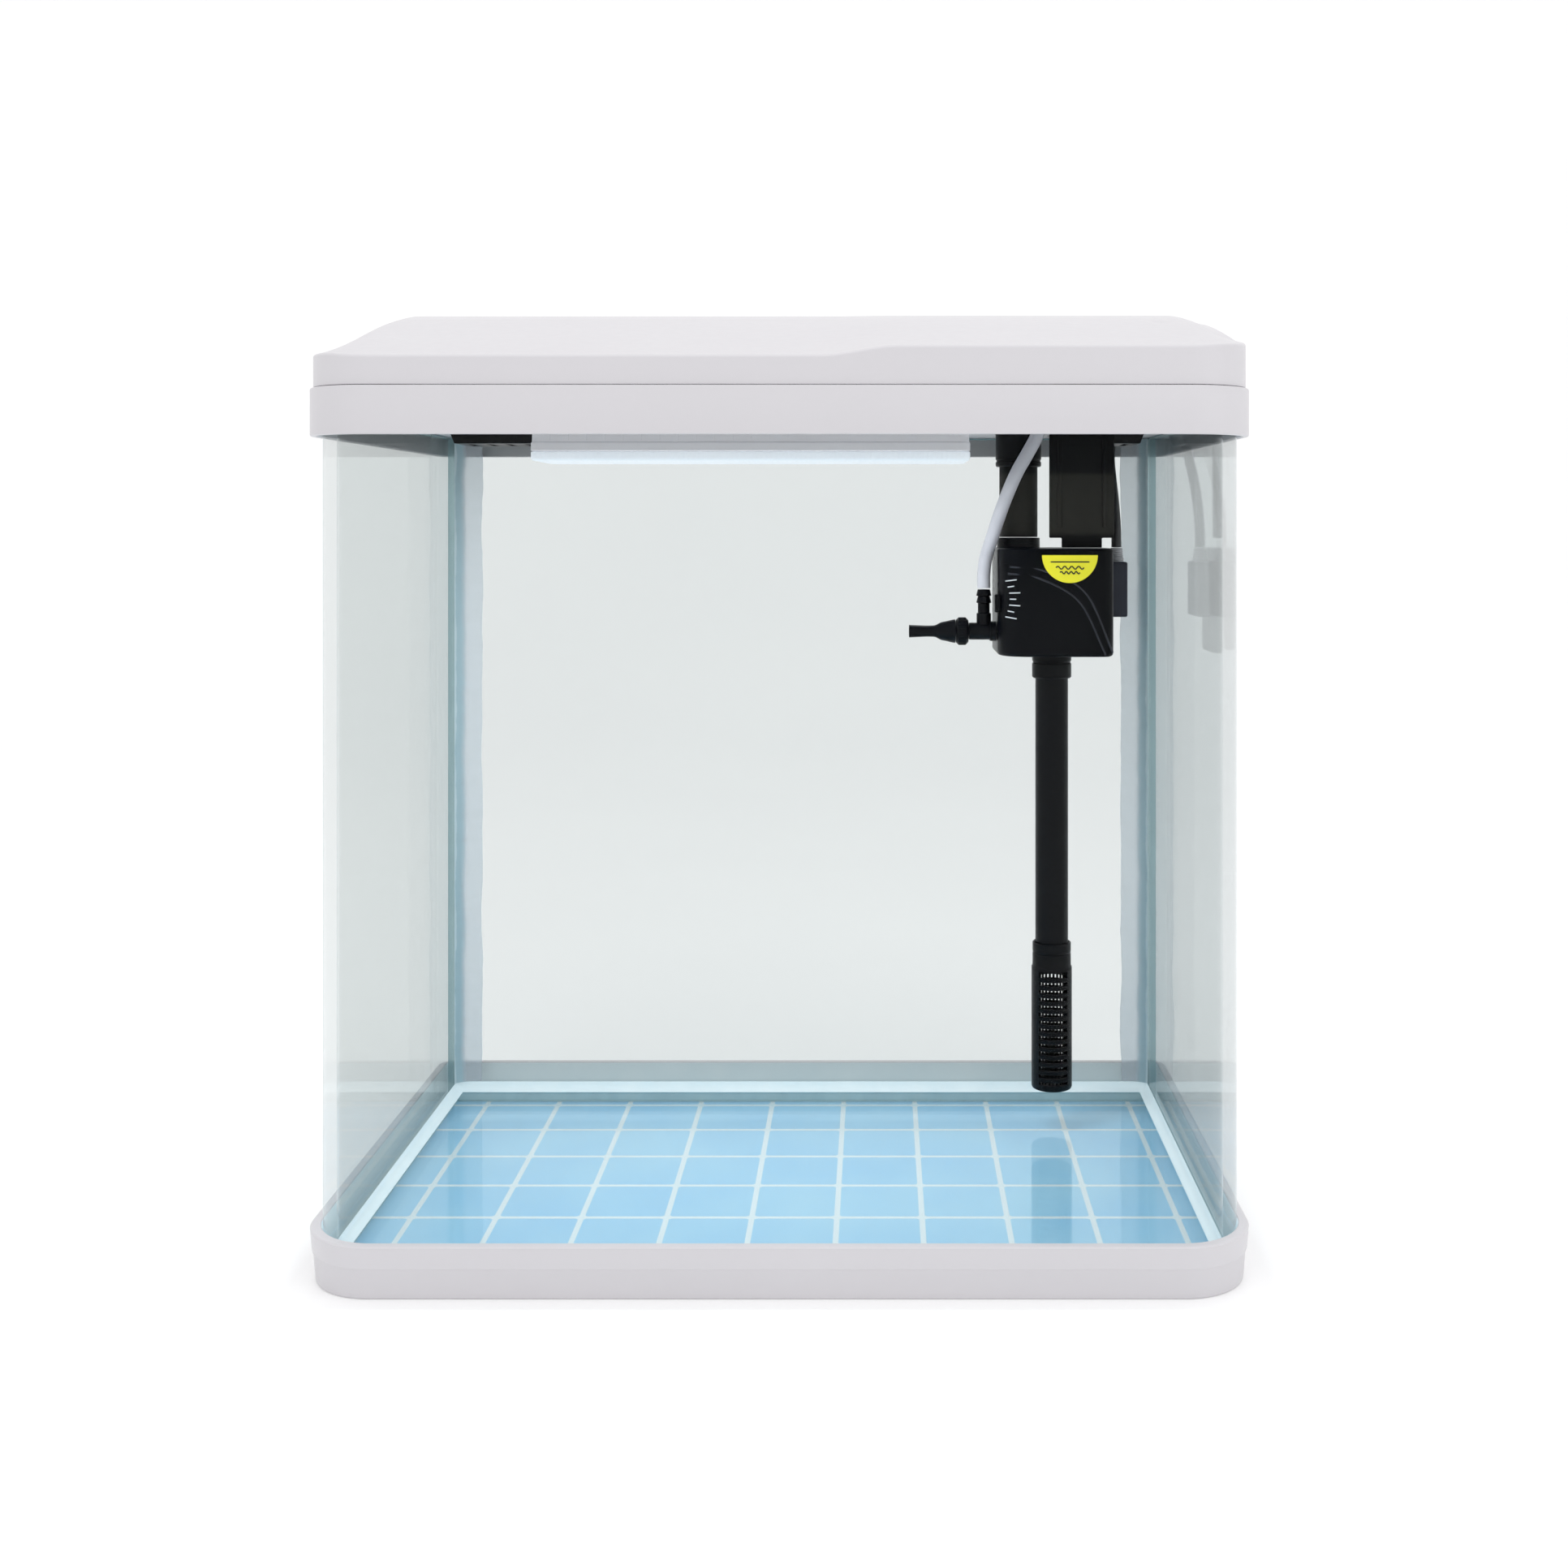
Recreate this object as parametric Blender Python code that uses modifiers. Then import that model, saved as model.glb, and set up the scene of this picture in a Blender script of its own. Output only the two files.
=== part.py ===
"""A small desktop aquarium: a base tray, a bent glass tank, and a lift-off hood with a hinged flap, a lamp,
a top filter tray and a pump that hangs from it in the rear right corner.

Metres, +Z up. The front faces -Y. The origin is the middle of the base's underside.
"""

import math

import bmesh
import bpy
from mathutils import Matrix, Vector

# Overall sizes
WIDTH = 0.350
DEPTH = 0.222
GLASS_TOP = 0.3207
HOOD_CREST = 0.3715

# Fits
GAP = 0.0003
SLIP = 0.0005
HOLE_SLIP = 0.0006

# Base tray
BASE_HEIGHT = 0.0198
BASE_DRAFT = 0.0020
BASE_DRAFT_ABOVE = 0.0008
BASE_STEP_Z = 0.0110
BASE_STEP = 0.0004
BASE_FLOOR = 0.0019
CORNER_RADIUS = 0.0270
REAR_RADIUS = 0.0080

# Tank
TANK_INSET = 0.00425
GLASS = 0.0050
BEND_RADIUS = 0.0240
SHEET = 0.0005
SEAM_WIDTH = 0.0135
SEAM_DEPTH = 0.0050
BOTTOM_SEAM = 0.0040
SEAM_EDGE = 0.0006

# Hood frame
SKIRT_DROP = 0.0086
SKIRT_HEIGHT = 0.0178
HOOD_WALL = 0.0025
DECK = 0.0025
FEED_OPENING = (0.284, 0.060)
FEED_OPENING_Y = -0.070

# Flap and rear cover
COVER_INSET = 0.0012
COVER_WALL = 0.0022
FACE_LEFT = 0.0106
FACE_RIGHT = 0.0141
WAVE_START = 0.016
WAVE_END = 0.044
CREST_DEPTH = 0.165
RISE_POWER = 1.1
REAR_FALL = 0.0040
SHOULDER = 0.014
SHOULDER_RUN = 0.04
SHOULDER_LEFT = 0.0060
SHOULDER_RIGHT = 0.0035
HINGE_FROM_REAR = 0.031
BARREL_RADIUS = 0.0058
BARREL_GAP = 0.0006
BARREL_COVER = 0.0002
BARREL_LENGTH = 0.3040
LUG = 0.0045
LUG_HEIGHT = 0.0100
LUG_HEAD = 0.0034
PIN_RADIUS = 0.0015
PIN_GRIP = 0.0090

# Lamp
LAMP_LENGTH = 0.178
LAMP_DEPTH = 0.045
LAMP_X = -0.015
LAMP_Y = -0.0125
LAMP_HEIGHT = 0.0114
LAMP_WALL = 0.0020
DIFFUSER_HEIGHT = 0.0037
DIFFUSER_WALL = 0.0012
LED_BOARD = 0.0014
LAMP_SCREW_SPAN = 0.150
SCREW_RADIUS = 0.0015
SCREW_HEAD_RADIUS = 0.0028
SCREW_HEAD = 0.0016
LAMP_CORNER = 0.005

# Filter tray
TRAY_LENGTH = 0.326
TRAY_FRONT = 0.0500
TRAY_REAR = 0.0900
TRAY_WALL = 0.0020
TRAY_TOP_RISE = 0.0225
CHANNEL_RISE = 0.0065
TRAY_END = 0.0495
WELL_FRONT = 0.0552
WELL_REAR = 0.0880
WELL_LENGTH = 0.0420
WELL_SLOPE = 0.0033
WELL_DROP = 0.0047
WELL_FROM_STEP = 0.0035
WELL_SLOT_PITCH = 0.0080
WELL_SLOT = (0.0030, 0.0200)
GRILLE = 0.0015
GRILLE_SLOT_PITCH = 0.0200
GRILLE_SLOT = (0.0040, 0.0240)
SLOT_MARGIN = 0.008
GRILLE_TO_SLEEVE = 0.0020
SPONGE = 0.0095

# Pump
PUMP_LEFT = 0.0905
PUMP_RIGHT = 0.1420
PUMP_FRONT = 0.0400
PUMP_REAR = 0.0900
PUMP_BOTTOM = 0.2204
PUMP_TOP = 0.2688
SOCKET_RADIUS = 0.0098
SOCKET_HEIGHT = 0.0047
PUMP_LEFT_RADIUS = 0.0140
PUMP_RIGHT_RADIUS = 0.0050
PUMP_REAR_RADIUS = 0.0040
PUMP_WALL = 0.0030
PUMP_SPLIT = 0.0500
DUCT_RISE = 0.0056
DUCT_START = 0.0025
DUCT_WIDTH = 0.009
DUCT_FRONT = 0.006
DUCT_REAR = 0.004
RISER_PORT = 0.00625
INTAKE_PORT = 0.0055
PORT_DEPTH = 0.008
ROTOR_Y = 0.0680
ROTOR_Z = 0.2500
CHAMBER_RADIUS = 0.0140
CHAMBER_LENGTH = 0.0150
CHAMBER_WALL = 0.0050
MOTOR_LEFT = 0.1138
MOTOR_RIGHT = 0.1500
MOTOR_HALF = 0.0125
MOTOR_WALL = 0.0022
MAGNET_RADIUS = 0.0060
MAGNET_LENGTH = 0.0250
ROTOR_CLEARANCE = 0.0008
SHAFT_RADIUS = 0.00125
BUSH_RADIUS = 0.0030
BUSH_LENGTH = 0.0028
BUSH_ROOM = 0.0016
CHAMBER_SLACK = 0.0008
BLADES = 6
BLADE = 0.0012
BLADE_RADIUS = 0.0125
BLADE_LENGTH = 0.0085
BLADE_SETBACK = 0.0005
HUB_RADIUS = 0.0045
LABEL_RADIUS = 0.0124
LABEL = 0.0004
LABEL_X = 0.1220
LABEL_TOP = 0.2659

# Riser and hanger
RISER_X = 0.1012
RISER_Y = 0.0660
RISER_RADIUS = 0.00875
RISER_WALL = 0.0013
SLEEVE_RADIUS = 0.01045
SLEEVE_BOTTOM = 0.3060
SLEEVE_ABOVE_DECK = 0.0140
RISER_BELOW_SLEEVE = 0.0040
SLEEVE_FLANGE = 0.0120
SLEEVE_FLANGE_HEIGHT = 0.0015
HANGER_LEFT = 0.1142
HANGER_RIGHT = 0.1433
HANGER_Y = 0.0515
HANGER = 0.0030
HANGER_NECK = 0.0180
HANGER_NECK_X = 0.1288
HANGER_STEP = 0.0047

# Intake
INTAKE_X = 0.1165
INTAKE_RADIUS = 0.0075
INTAKE_WALL = 0.0013
COLLAR_RADIUS = 0.0090
COLLAR_LENGTH = 0.0110
COLLAR_LIP = 0.0025
TUBE_BOTTOM = 0.0800
STRAINER_COLLAR_TOP = 0.0880
STRAINER_COLLAR_BOTTOM = 0.0770
STRAINER_BOTTOM = 0.0210
STRAINER_RADIUS = 0.00925
STRAINER_COLLAR_RADIUS = 0.0088
STRAINER_WALL = 0.0014
STRAINER_SLOTS = 15
STRAINER_SLOT = 0.0016
STRAINER_SLOT_WIDTH = 0.0130

# Outlet
OUTLET_Y = 0.0580
OUTLET_Z = 0.2310
OUTLET_RADIUS = 0.0039
OUTLET_BORE = 0.0025
OUTLET_LEFT = 0.0780
BARB_X = 0.0848
BARB_TOP = 0.2500
BARB_RADIUS = 0.0030
NUT_RADIUS = 0.0063
NUT_LENGTH = 0.0056
NUT_ROUND = 0.0012
BARB_LIP = 0.0004
BARB_HEAD = 0.0030
BARB_BORE = 0.0012
NOZZLE_LENGTH = 0.0210
NOZZLE_TIP_HALF = 0.0028
NOZZLE_TIP_WIDE = 0.0050
NOZZLE_WALL = 0.0012

# Leads and hose
HOSE_RADIUS = 0.0030
VALVE_X = 0.1096
VALVE_Y = 0.0435
VALVE_RADIUS = 0.0060
VALVE_HEIGHT = 0.0220
VALVE_FLANGE = 0.0062
VALVE_FLANGE_HEIGHT = 0.0030
VALVE_ROUND = 0.0020
VALVE_STEP = 0.0006
HOSE_SLIP = 0.0015
HOSE_CLEARANCE = 0.0025
LEAD_CLEARANCE = 0.0012
LEAD_RADIUS = 0.0023
GROMMET_X = 0.1465
GROMMET_Y = 0.0680
GROMMET_RADIUS = 0.0034
GROMMET_HEIGHT = 0.0060
LEAD_HOLE_X = 0.1480
LEAD_HOLE_Y = 0.0985
LAMP_LEAD_RADIUS = 0.00175
LAMP_LEAD_X = -0.050
LAMP_LEAD_Y = -0.010
BOX_LEFT = -0.075
BOX_RIGHT = 0.000
BOX_FRONT = 0.0915
BOX_REAR = 0.1055
BOX_HEIGHT = 0.0210
BOX_WALL = 0.0018
BOX_LID = 0.0018
BOX_PORT_RISE = 0.0100
BOX_LAMP_PORT_RISE = 0.0035
GROMMET_COLLAR = 0.0015
GROMMET_TIP = 0.0004
LEAD_STRAIGHT = 0.0040
GLAND_X = -0.110
GLAND_Z = 0.345
GLAND_RADIUS = 0.0045
GLAND_FLANGE = 0.0065
GLAND_BORE = 0.0033
GLAND_LENGTH = 0.0080
GLAND_FLANGE_THICK = 0.0008

SIDES = 28
SMALL_SIDES = 16
CORNER_STEPS = 7
MERGE = 0.00001
SHARP_ANGLE = 35
CROWN_STEP = 0.013
CROWN_EDGE = 0.002
PAST = 0.001
HOLE_START = 0.004
HOLE_DEPTH = 0.006
PORT_START = 0.004
WELL_PAST = 0.010
BORE_PAST = 0.002

# Worked out from the sizes above
TANK_WIDTH = WIDTH - 2 * TANK_INSET
TANK_DEPTH = DEPTH - 2 * TANK_INSET
TANK_REAR = TANK_DEPTH / 2 - GLASS
INNER_WIDTH = TANK_WIDTH - 2 * GLASS
GLASS_BOTTOM = BASE_FLOOR + GAP
SHEET_TOP = GLASS_BOTTOM + SHEET
PANE_BOTTOM = SHEET_TOP + GAP
PANE_TOP = PANE_BOTTOM + GLASS
DECK_BOTTOM = GLASS_TOP + GAP
DECK_TOP = DECK_BOTTOM + DECK
SKIRT_BOTTOM = GLASS_TOP - SKIRT_DROP
RIM_TOP = SKIRT_BOTTOM + SKIRT_HEIGHT
COVER_BOTTOM = RIM_TOP + GAP
COVER_WIDTH = WIDTH - 2 * COVER_INSET
COVER_FRONT = -DEPTH / 2 + COVER_INSET
COVER_REAR = DEPTH / 2 - COVER_INSET
HINGE_Y = DEPTH / 2 - HINGE_FROM_REAR
LAMP_BOTTOM = DECK_BOTTOM - GAP - LAMP_HEIGHT
DIFFUSER_BOTTOM = LAMP_BOTTOM - GAP - DIFFUSER_HEIGHT
TRAY_BOTTOM = DECK_TOP + GAP
TRAY_TOP = TRAY_BOTTOM + TRAY_TOP_RISE
CHANNEL_BOTTOM = DECK_TOP + CHANNEL_RISE
CHANNEL_FLOOR = CHANNEL_BOTTOM + TRAY_WALL
WELL_BOTTOM = DECK_BOTTOM - WELL_DROP
RIGHT_STEP = max(TRAY_LENGTH / 2 - TRAY_END, RISER_X + SLEEVE_FLANGE + GAP)
STATOR_LEFT = MOTOR_LEFT + GAP
MAGNET_LEFT = STATOR_LEFT + ROTOR_CLEARANCE
MAGNET_RIGHT = MAGNET_LEFT + MAGNET_LENGTH
CHAMBER_LEFT = PUMP_LEFT + CHAMBER_WALL


# Scene

def clear_scene():
    for obj in list(bpy.data.objects):
        bpy.data.objects.remove(obj, do_unlink=True)


def collection(name):
    made = bpy.data.collections.new(name)
    bpy.context.scene.collection.children.link(made)
    return made


clear_scene()
AQUARIUM = collection("aquarium")
CUTTERS = collection("cutters")


def material(name, colour, roughness, metallic=0.0):
    made = bpy.data.materials.new(name)
    made.use_nodes = True
    shader = made.node_tree.nodes["Principled BSDF"]
    shader.inputs["Base Color"].default_value = (*colour, 1.0)
    shader.inputs["Roughness"].default_value = roughness
    shader.inputs["Metallic"].default_value = metallic
    made.diffuse_color = (*colour, 1.0)
    return made


WHITE_PLASTIC = (0.68, 0.66, 0.68)
BLACK_PLASTIC = (0.010, 0.010, 0.012)
CLEAR_GLASS = (0.78, 0.88, 0.88)


# Shapes

def mesh_object(name, bm):
    bmesh.ops.recalc_face_normals(bm, faces=bm.faces)
    mesh = bpy.data.meshes.new(name)
    bm.to_mesh(mesh)
    bm.free()
    obj = bpy.data.objects.new(name, mesh)
    AQUARIUM.objects.link(obj)
    return obj


def finish(obj, colour, roughness, metallic=0.0):
    """Gives a part its material, and shades its round faces smooth."""
    obj.data.materials.append(material(obj.name, colour, roughness, metallic))
    if obj.type == "MESH" and obj.data.polygons:
        obj.data.shade_smooth()
        obj.data.set_sharp_from_angle(angle=math.radians(SHARP_ANGLE))
    return obj


def box(name, low, high):
    bm = bmesh.new()
    bmesh.ops.create_cube(bm, size=1.0)
    size = Vector(high) - Vector(low)
    middle = (Vector(high) + Vector(low)) / 2
    bmesh.ops.scale(bm, vec=size, verts=bm.verts)
    bmesh.ops.translate(bm, vec=middle, verts=bm.verts)
    return mesh_object(name, bm)


def turn(axis):
    """The rotation that takes +Z to the named axis."""
    turns = {
        "X": Matrix.Rotation(math.pi / 2, 4, "Y"),
        "Y": Matrix.Rotation(-math.pi / 2, 4, "X"),
        "Z": Matrix.Identity(4),
    }
    return turns[axis]


def rod(name, radius, start, length, axis="Z", sides=SIDES):
    """A cylinder from its start point along an axis."""
    bm = bmesh.new()
    bmesh.ops.create_cone(
        bm,
        cap_ends=True,
        segments=sides,
        radius1=radius,
        radius2=radius,
        depth=length,
    )
    bmesh.ops.translate(bm, vec=(0, 0, length / 2), verts=bm.verts)
    bmesh.ops.transform(bm, matrix=Matrix.Translation(start) @ turn(axis), verts=bm.verts)
    return mesh_object(name, bm)


def turned(name, profile, place, axis="Z", sides=SIDES, closed=False):
    """A turned body. The profile is (radius, height) pairs, down the outer side."""
    mesh = bpy.data.meshes.new(name)
    edges = [(i, i + 1) for i in range(len(profile) - 1)]
    if closed:
        edges.append((len(profile) - 1, 0))
    mesh.from_pydata([(radius, 0, height) for radius, height in profile], edges, [])
    obj = bpy.data.objects.new(name, mesh)
    AQUARIUM.objects.link(obj)
    obj.matrix_world = Matrix.Translation(place) @ turn(axis)
    screw = obj.modifiers.new("turn", "SCREW")
    screw.steps = sides
    screw.render_steps = sides
    screw.use_smooth_shade = True
    screw.use_merge_vertices = True
    screw.merge_threshold = MERGE
    return obj


def rounded(width, depth, radii, inset=0.0, centre=(0.0, 0.0), steps=CORNER_STEPS):
    """A rectangle's outline with a radius at each corner: front left, front right, rear right, rear left."""
    half_x = width / 2 - inset
    half_y = depth / 2 - inset
    points = []
    for corner, radius in enumerate(radii):
        side_x = -1 if corner in (0, 3) else 1
        side_y = -1 if corner in (0, 1) else 1
        radius = max(radius - inset, 0.0) if radius else 0.0
        middle = (centre[0] + side_x * (half_x - radius), centre[1] + side_y * (half_y - radius))
        if radius == 0.0:
            points.append(middle)
            continue
        first = math.pi + corner * math.pi / 2
        for step in range(steps + 1):
            angle = first + step / steps * math.pi / 2
            points.append((middle[0] + radius * math.cos(angle), middle[1] + radius * math.sin(angle)))
    return points


def plate(name, outline, bottom, top, axis="Z", at=0.0):
    """A flat outline given thickness. On the X axis the outline's pair is (y, z)."""
    curve = bpy.data.curves.new(name + "_outline", "CURVE")
    curve.dimensions = "2D"
    curve.fill_mode = "BOTH"
    curve.extrude = (top - bottom) / 2
    spline = curve.splines.new("POLY")
    spline.points.add(len(outline) - 1)
    for point, (x, y) in zip(spline.points, outline):
        point.co = (x, y, 0, 1)
    spline.use_cyclic_u = True
    flat = bpy.data.objects.new(name + "_outline", curve)
    AQUARIUM.objects.link(flat)
    flat.location.z = (top + bottom) / 2
    bpy.context.view_layer.update()
    mesh = bpy.data.meshes.new_from_object(flat.evaluated_get(bpy.context.evaluated_depsgraph_get()))
    bm = bmesh.new()
    bm.from_mesh(mesh)
    bmesh.ops.remove_doubles(bm, verts=bm.verts, dist=MERGE)
    bmesh.ops.transform(bm, matrix=flat.matrix_world, verts=bm.verts)
    if axis == "X":
        swap = Matrix(((0, 0, 1, 0), (1, 0, 0, 0), (0, 1, 0, 0), (0, 0, 0, 1)))
        bmesh.ops.transform(bm, matrix=swap, verts=bm.verts)
    if axis == "Y":
        swap = Matrix(((1, 0, 0, 0), (0, 0, 1, 0), (0, 1, 0, 0), (0, 0, 0, 1)))
        bmesh.ops.transform(bm, matrix=swap, verts=bm.verts)
    bpy.data.objects.remove(flat)
    return mesh_object(name, bm)


def loft(name, sections, place=Matrix.Identity(4)):
    """A body through outlines with the same number of points, each at its own height."""
    bm = bmesh.new()
    rings = [[bm.verts.new((x, y, height)) for x, y in outline] for height, outline in sections]
    count = len(rings[0])
    for below, above in zip(rings, rings[1:]):
        for i in range(count):
            j = (i + 1) % count
            bm.faces.new((below[i], below[j], above[j], above[i]))
    bm.faces.new(rings[0][::-1])
    bm.faces.new(rings[-1])
    bmesh.ops.transform(bm, matrix=place, verts=bm.verts)
    return mesh_object(name, bm)


def boxes(name, spans):
    """Several boxes in one cutter, from (low, high) pairs."""
    bm = bmesh.new()
    for low, high in spans:
        made = bmesh.ops.create_cube(bm, size=1.0)["verts"]
        bmesh.ops.scale(bm, vec=Vector(high) - Vector(low), verts=made)
        bmesh.ops.translate(bm, vec=(Vector(high) + Vector(low)) / 2, verts=made)
    return mesh_object(name, bm)


def ring(name, outer, inner, bottom, top, place=(0, 0, 0), axis="Z", sides=SIDES):
    profile = [(outer, top), (outer, bottom), (inner, bottom), (inner, top)]
    return turned(name, profile, place, axis, sides, closed=True)


def boolean(obj, tools, operation):
    for tool in tools:
        step = obj.modifiers.new(tool.name, "BOOLEAN")
        step.operation = operation
        step.solver = "EXACT"
        step.object = tool
        for home in list(tool.users_collection):
            home.objects.unlink(tool)
        CUTTERS.objects.link(tool)
        tool.hide_render = True
        tool.display_type = "WIRE"
    return obj


def cut(obj, *tools):
    return boolean(obj, tools, "DIFFERENCE")


def join(obj, *tools):
    return boolean(obj, tools, "UNION")


def smooth_route(points, spacing):
    """Evenly spaced points on a Catmull-Rom curve through the route's own points."""
    knots = [Vector(p) for p in points]
    knots = [2 * knots[0] - knots[1], *knots, 2 * knots[-1] - knots[-2]]
    fine = []
    for i in range(1, len(knots) - 2):
        a, b, c, d = knots[i - 1 : i + 3]
        for step in range(20):
            t = step / 20
            fine.append(
                0.5 * (
                    2 * b + (c - a) * t + (2 * a - 5 * b + 4 * c - d) * t * t + (3 * b - a - 3 * c + d) * t**3
                )
            )
    fine.append(knots[-2])
    lengths = [0.0]
    for before, after in zip(fine, fine[1:]):
        lengths.append(lengths[-1] + (after - before).length)
    count = max(2, round(lengths[-1] / spacing))
    even = []
    for step in range(count + 1):
        target = lengths[-1] * step / count
        i = min(max(sum(1 for length in lengths if length < target), 1), len(fine) - 1)
        share = (target - lengths[i - 1]) / (lengths[i] - lengths[i - 1])
        even.append(fine[i - 1].lerp(fine[i], share))
    return even


def tube(name, points, radius, resolution):
    curve = bpy.data.curves.new(name, "CURVE")
    curve.dimensions = "3D"
    curve.bevel_depth = radius
    curve.bevel_resolution = resolution
    curve.use_fill_caps = True
    route = smooth_route(points, 4 * radius)
    spline = curve.splines.new("POLY")
    spline.points.add(len(route) - 1)
    for point, place in zip(spline.points, route):
        point.co = (*place, 1)
    obj = bpy.data.objects.new(name, curve)
    AQUARIUM.objects.link(obj)
    return obj


# Base and tank

def tank_outline(inset):
    front = BEND_RADIUS
    return rounded(TANK_WIDTH, TANK_DEPTH, (front, front, 0, 0), inset)


def make_base():
    corners = (CORNER_RADIUS, CORNER_RADIUS, REAR_RADIUS, REAR_RADIUS)
    sections = [
        (0.0, rounded(WIDTH, DEPTH, corners, BASE_DRAFT)),
        (BASE_STEP_Z, rounded(WIDTH, DEPTH, corners, BASE_STEP + BASE_DRAFT_ABOVE)),
        (BASE_STEP_Z + BASE_STEP, rounded(WIDTH, DEPTH, corners, BASE_DRAFT_ABOVE)),
        (BASE_HEIGHT, rounded(WIDTH, DEPTH, corners)),
    ]
    base = loft("base_tray", sections)
    recess = plate("base_recess", tank_outline(-SLIP), BASE_FLOOR, BASE_HEIGHT + WELL_PAST)
    return finish(cut(base, recess), WHITE_PLASTIC, 0.42)


def make_tank():
    bend = (BEND_RADIUS, BEND_RADIUS, 0, 0)
    outside = rounded(TANK_WIDTH, TANK_DEPTH, bend)
    inside = rounded(TANK_WIDTH, TANK_DEPTH, bend, GLASS)
    inside[-1] = (inside[-1][0], TANK_DEPTH / 2)
    inside[-2] = (inside[-2][0], TANK_DEPTH / 2)
    left = CORNER_STEPS + 1
    inner = inside[left * 2 - 1 :: -1]
    walls = outside[:-2] + outside[-2:-1] + inside[-2:-1] + inner + inside[-1:] + outside[-1:]
    front = plate("front_glass", walls, GLASS_BOTTOM, GLASS_TOP)
    finish(front, CLEAR_GLASS, 0.05)

    side = INNER_WIDTH / 2 - GAP
    back = box("back_glass", (-side, TANK_REAR, GLASS_BOTTOM), (side, TANK_DEPTH / 2, GLASS_TOP))
    finish(back, CLEAR_GLASS, 0.05)

    floor = rounded(INNER_WIDTH, TANK_REAR * 2, (BEND_RADIUS - GLASS,) * 2 + (0, 0), GAP)
    finish(plate("bottom_glass", floor, PANE_BOTTOM, PANE_TOP), CLEAR_GLASS, 0.05)
    finish(plate("tile_sheet", floor, GLASS_BOTTOM, SHEET_TOP), (0.38, 0.69, 0.92), 0.30)


def seam_outline(inset):
    return rounded(INNER_WIDTH, TANK_REAR * 2, (BEND_RADIUS - GLASS,) * 2 + (0, 0), inset)


def make_seams():
    low = PANE_TOP + GAP
    high = low + BOTTOM_SEAM
    bead = plate("bottom_seam", seam_outline(GAP), low, high)
    slope = (BOTTOM_SEAM - SEAM_EDGE) / BOTTOM_SEAM
    hollow = loft(
        "bottom_seam_hollow",
        [
            (low - PAST, seam_outline(GAP + BOTTOM_SEAM + PAST * slope)),
            (high + PAST, seam_outline(GAP + SEAM_EDGE - PAST * slope)),
        ],
    )
    finish(cut(bead, hollow), (0.75, 0.82, 0.84), 0.35)
    for side, name in ((-1, "corner_seam_left"), (1, "corner_seam_right")):
        wall = side * (INNER_WIDTH / 2 - GAP)
        rear = TANK_REAR - GAP
        outline = [(wall, rear), (wall, rear - SEAM_DEPTH), (wall - side * SEAM_WIDTH, rear)]
        finish(plate(name, outline, high + GAP, GLASS_TOP - GAP), (0.62, 0.64, 0.68), 0.35)


# Hood frame, flap and rear cover

def smooth_step(value):
    value = min(max(value, 0.0), 1.0)
    return value * value * (3 - 2 * value)


def crown(x, y):
    """The height of the hood's outer top over a point of the plan."""
    depth = y + DEPTH / 2
    wave = smooth_step((x - WAVE_START) / (WAVE_END - WAVE_START))
    face = RIM_TOP + FACE_LEFT + (FACE_RIGHT - FACE_LEFT) * wave
    rise = math.sin(math.pi / 2 * min(max(depth / CREST_DEPTH, 0.0), 1.0)) ** RISE_POWER
    fall = REAR_FALL * (max(depth - CREST_DEPTH, 0.0) / (DEPTH - CREST_DEPTH)) ** 2
    edge = COVER_WIDTH / 2 - abs(x)
    shoulder = SHOULDER_LEFT if x < 0 else SHOULDER_RIGHT
    lowered = shoulder * (1 - smooth_step(edge / SHOULDER)) * min(max(depth / SHOULDER_RUN, 0.0), 1.0)
    return face + (HOOD_CREST - face) * rise - fall - lowered


HINGE_DROP = BARREL_RADIUS + BARREL_COVER
HINGE_Z = crown(0, HINGE_Y) - HINGE_DROP
SWEEP_RADIUS = HINGE_DROP + BARREL_GAP


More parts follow.
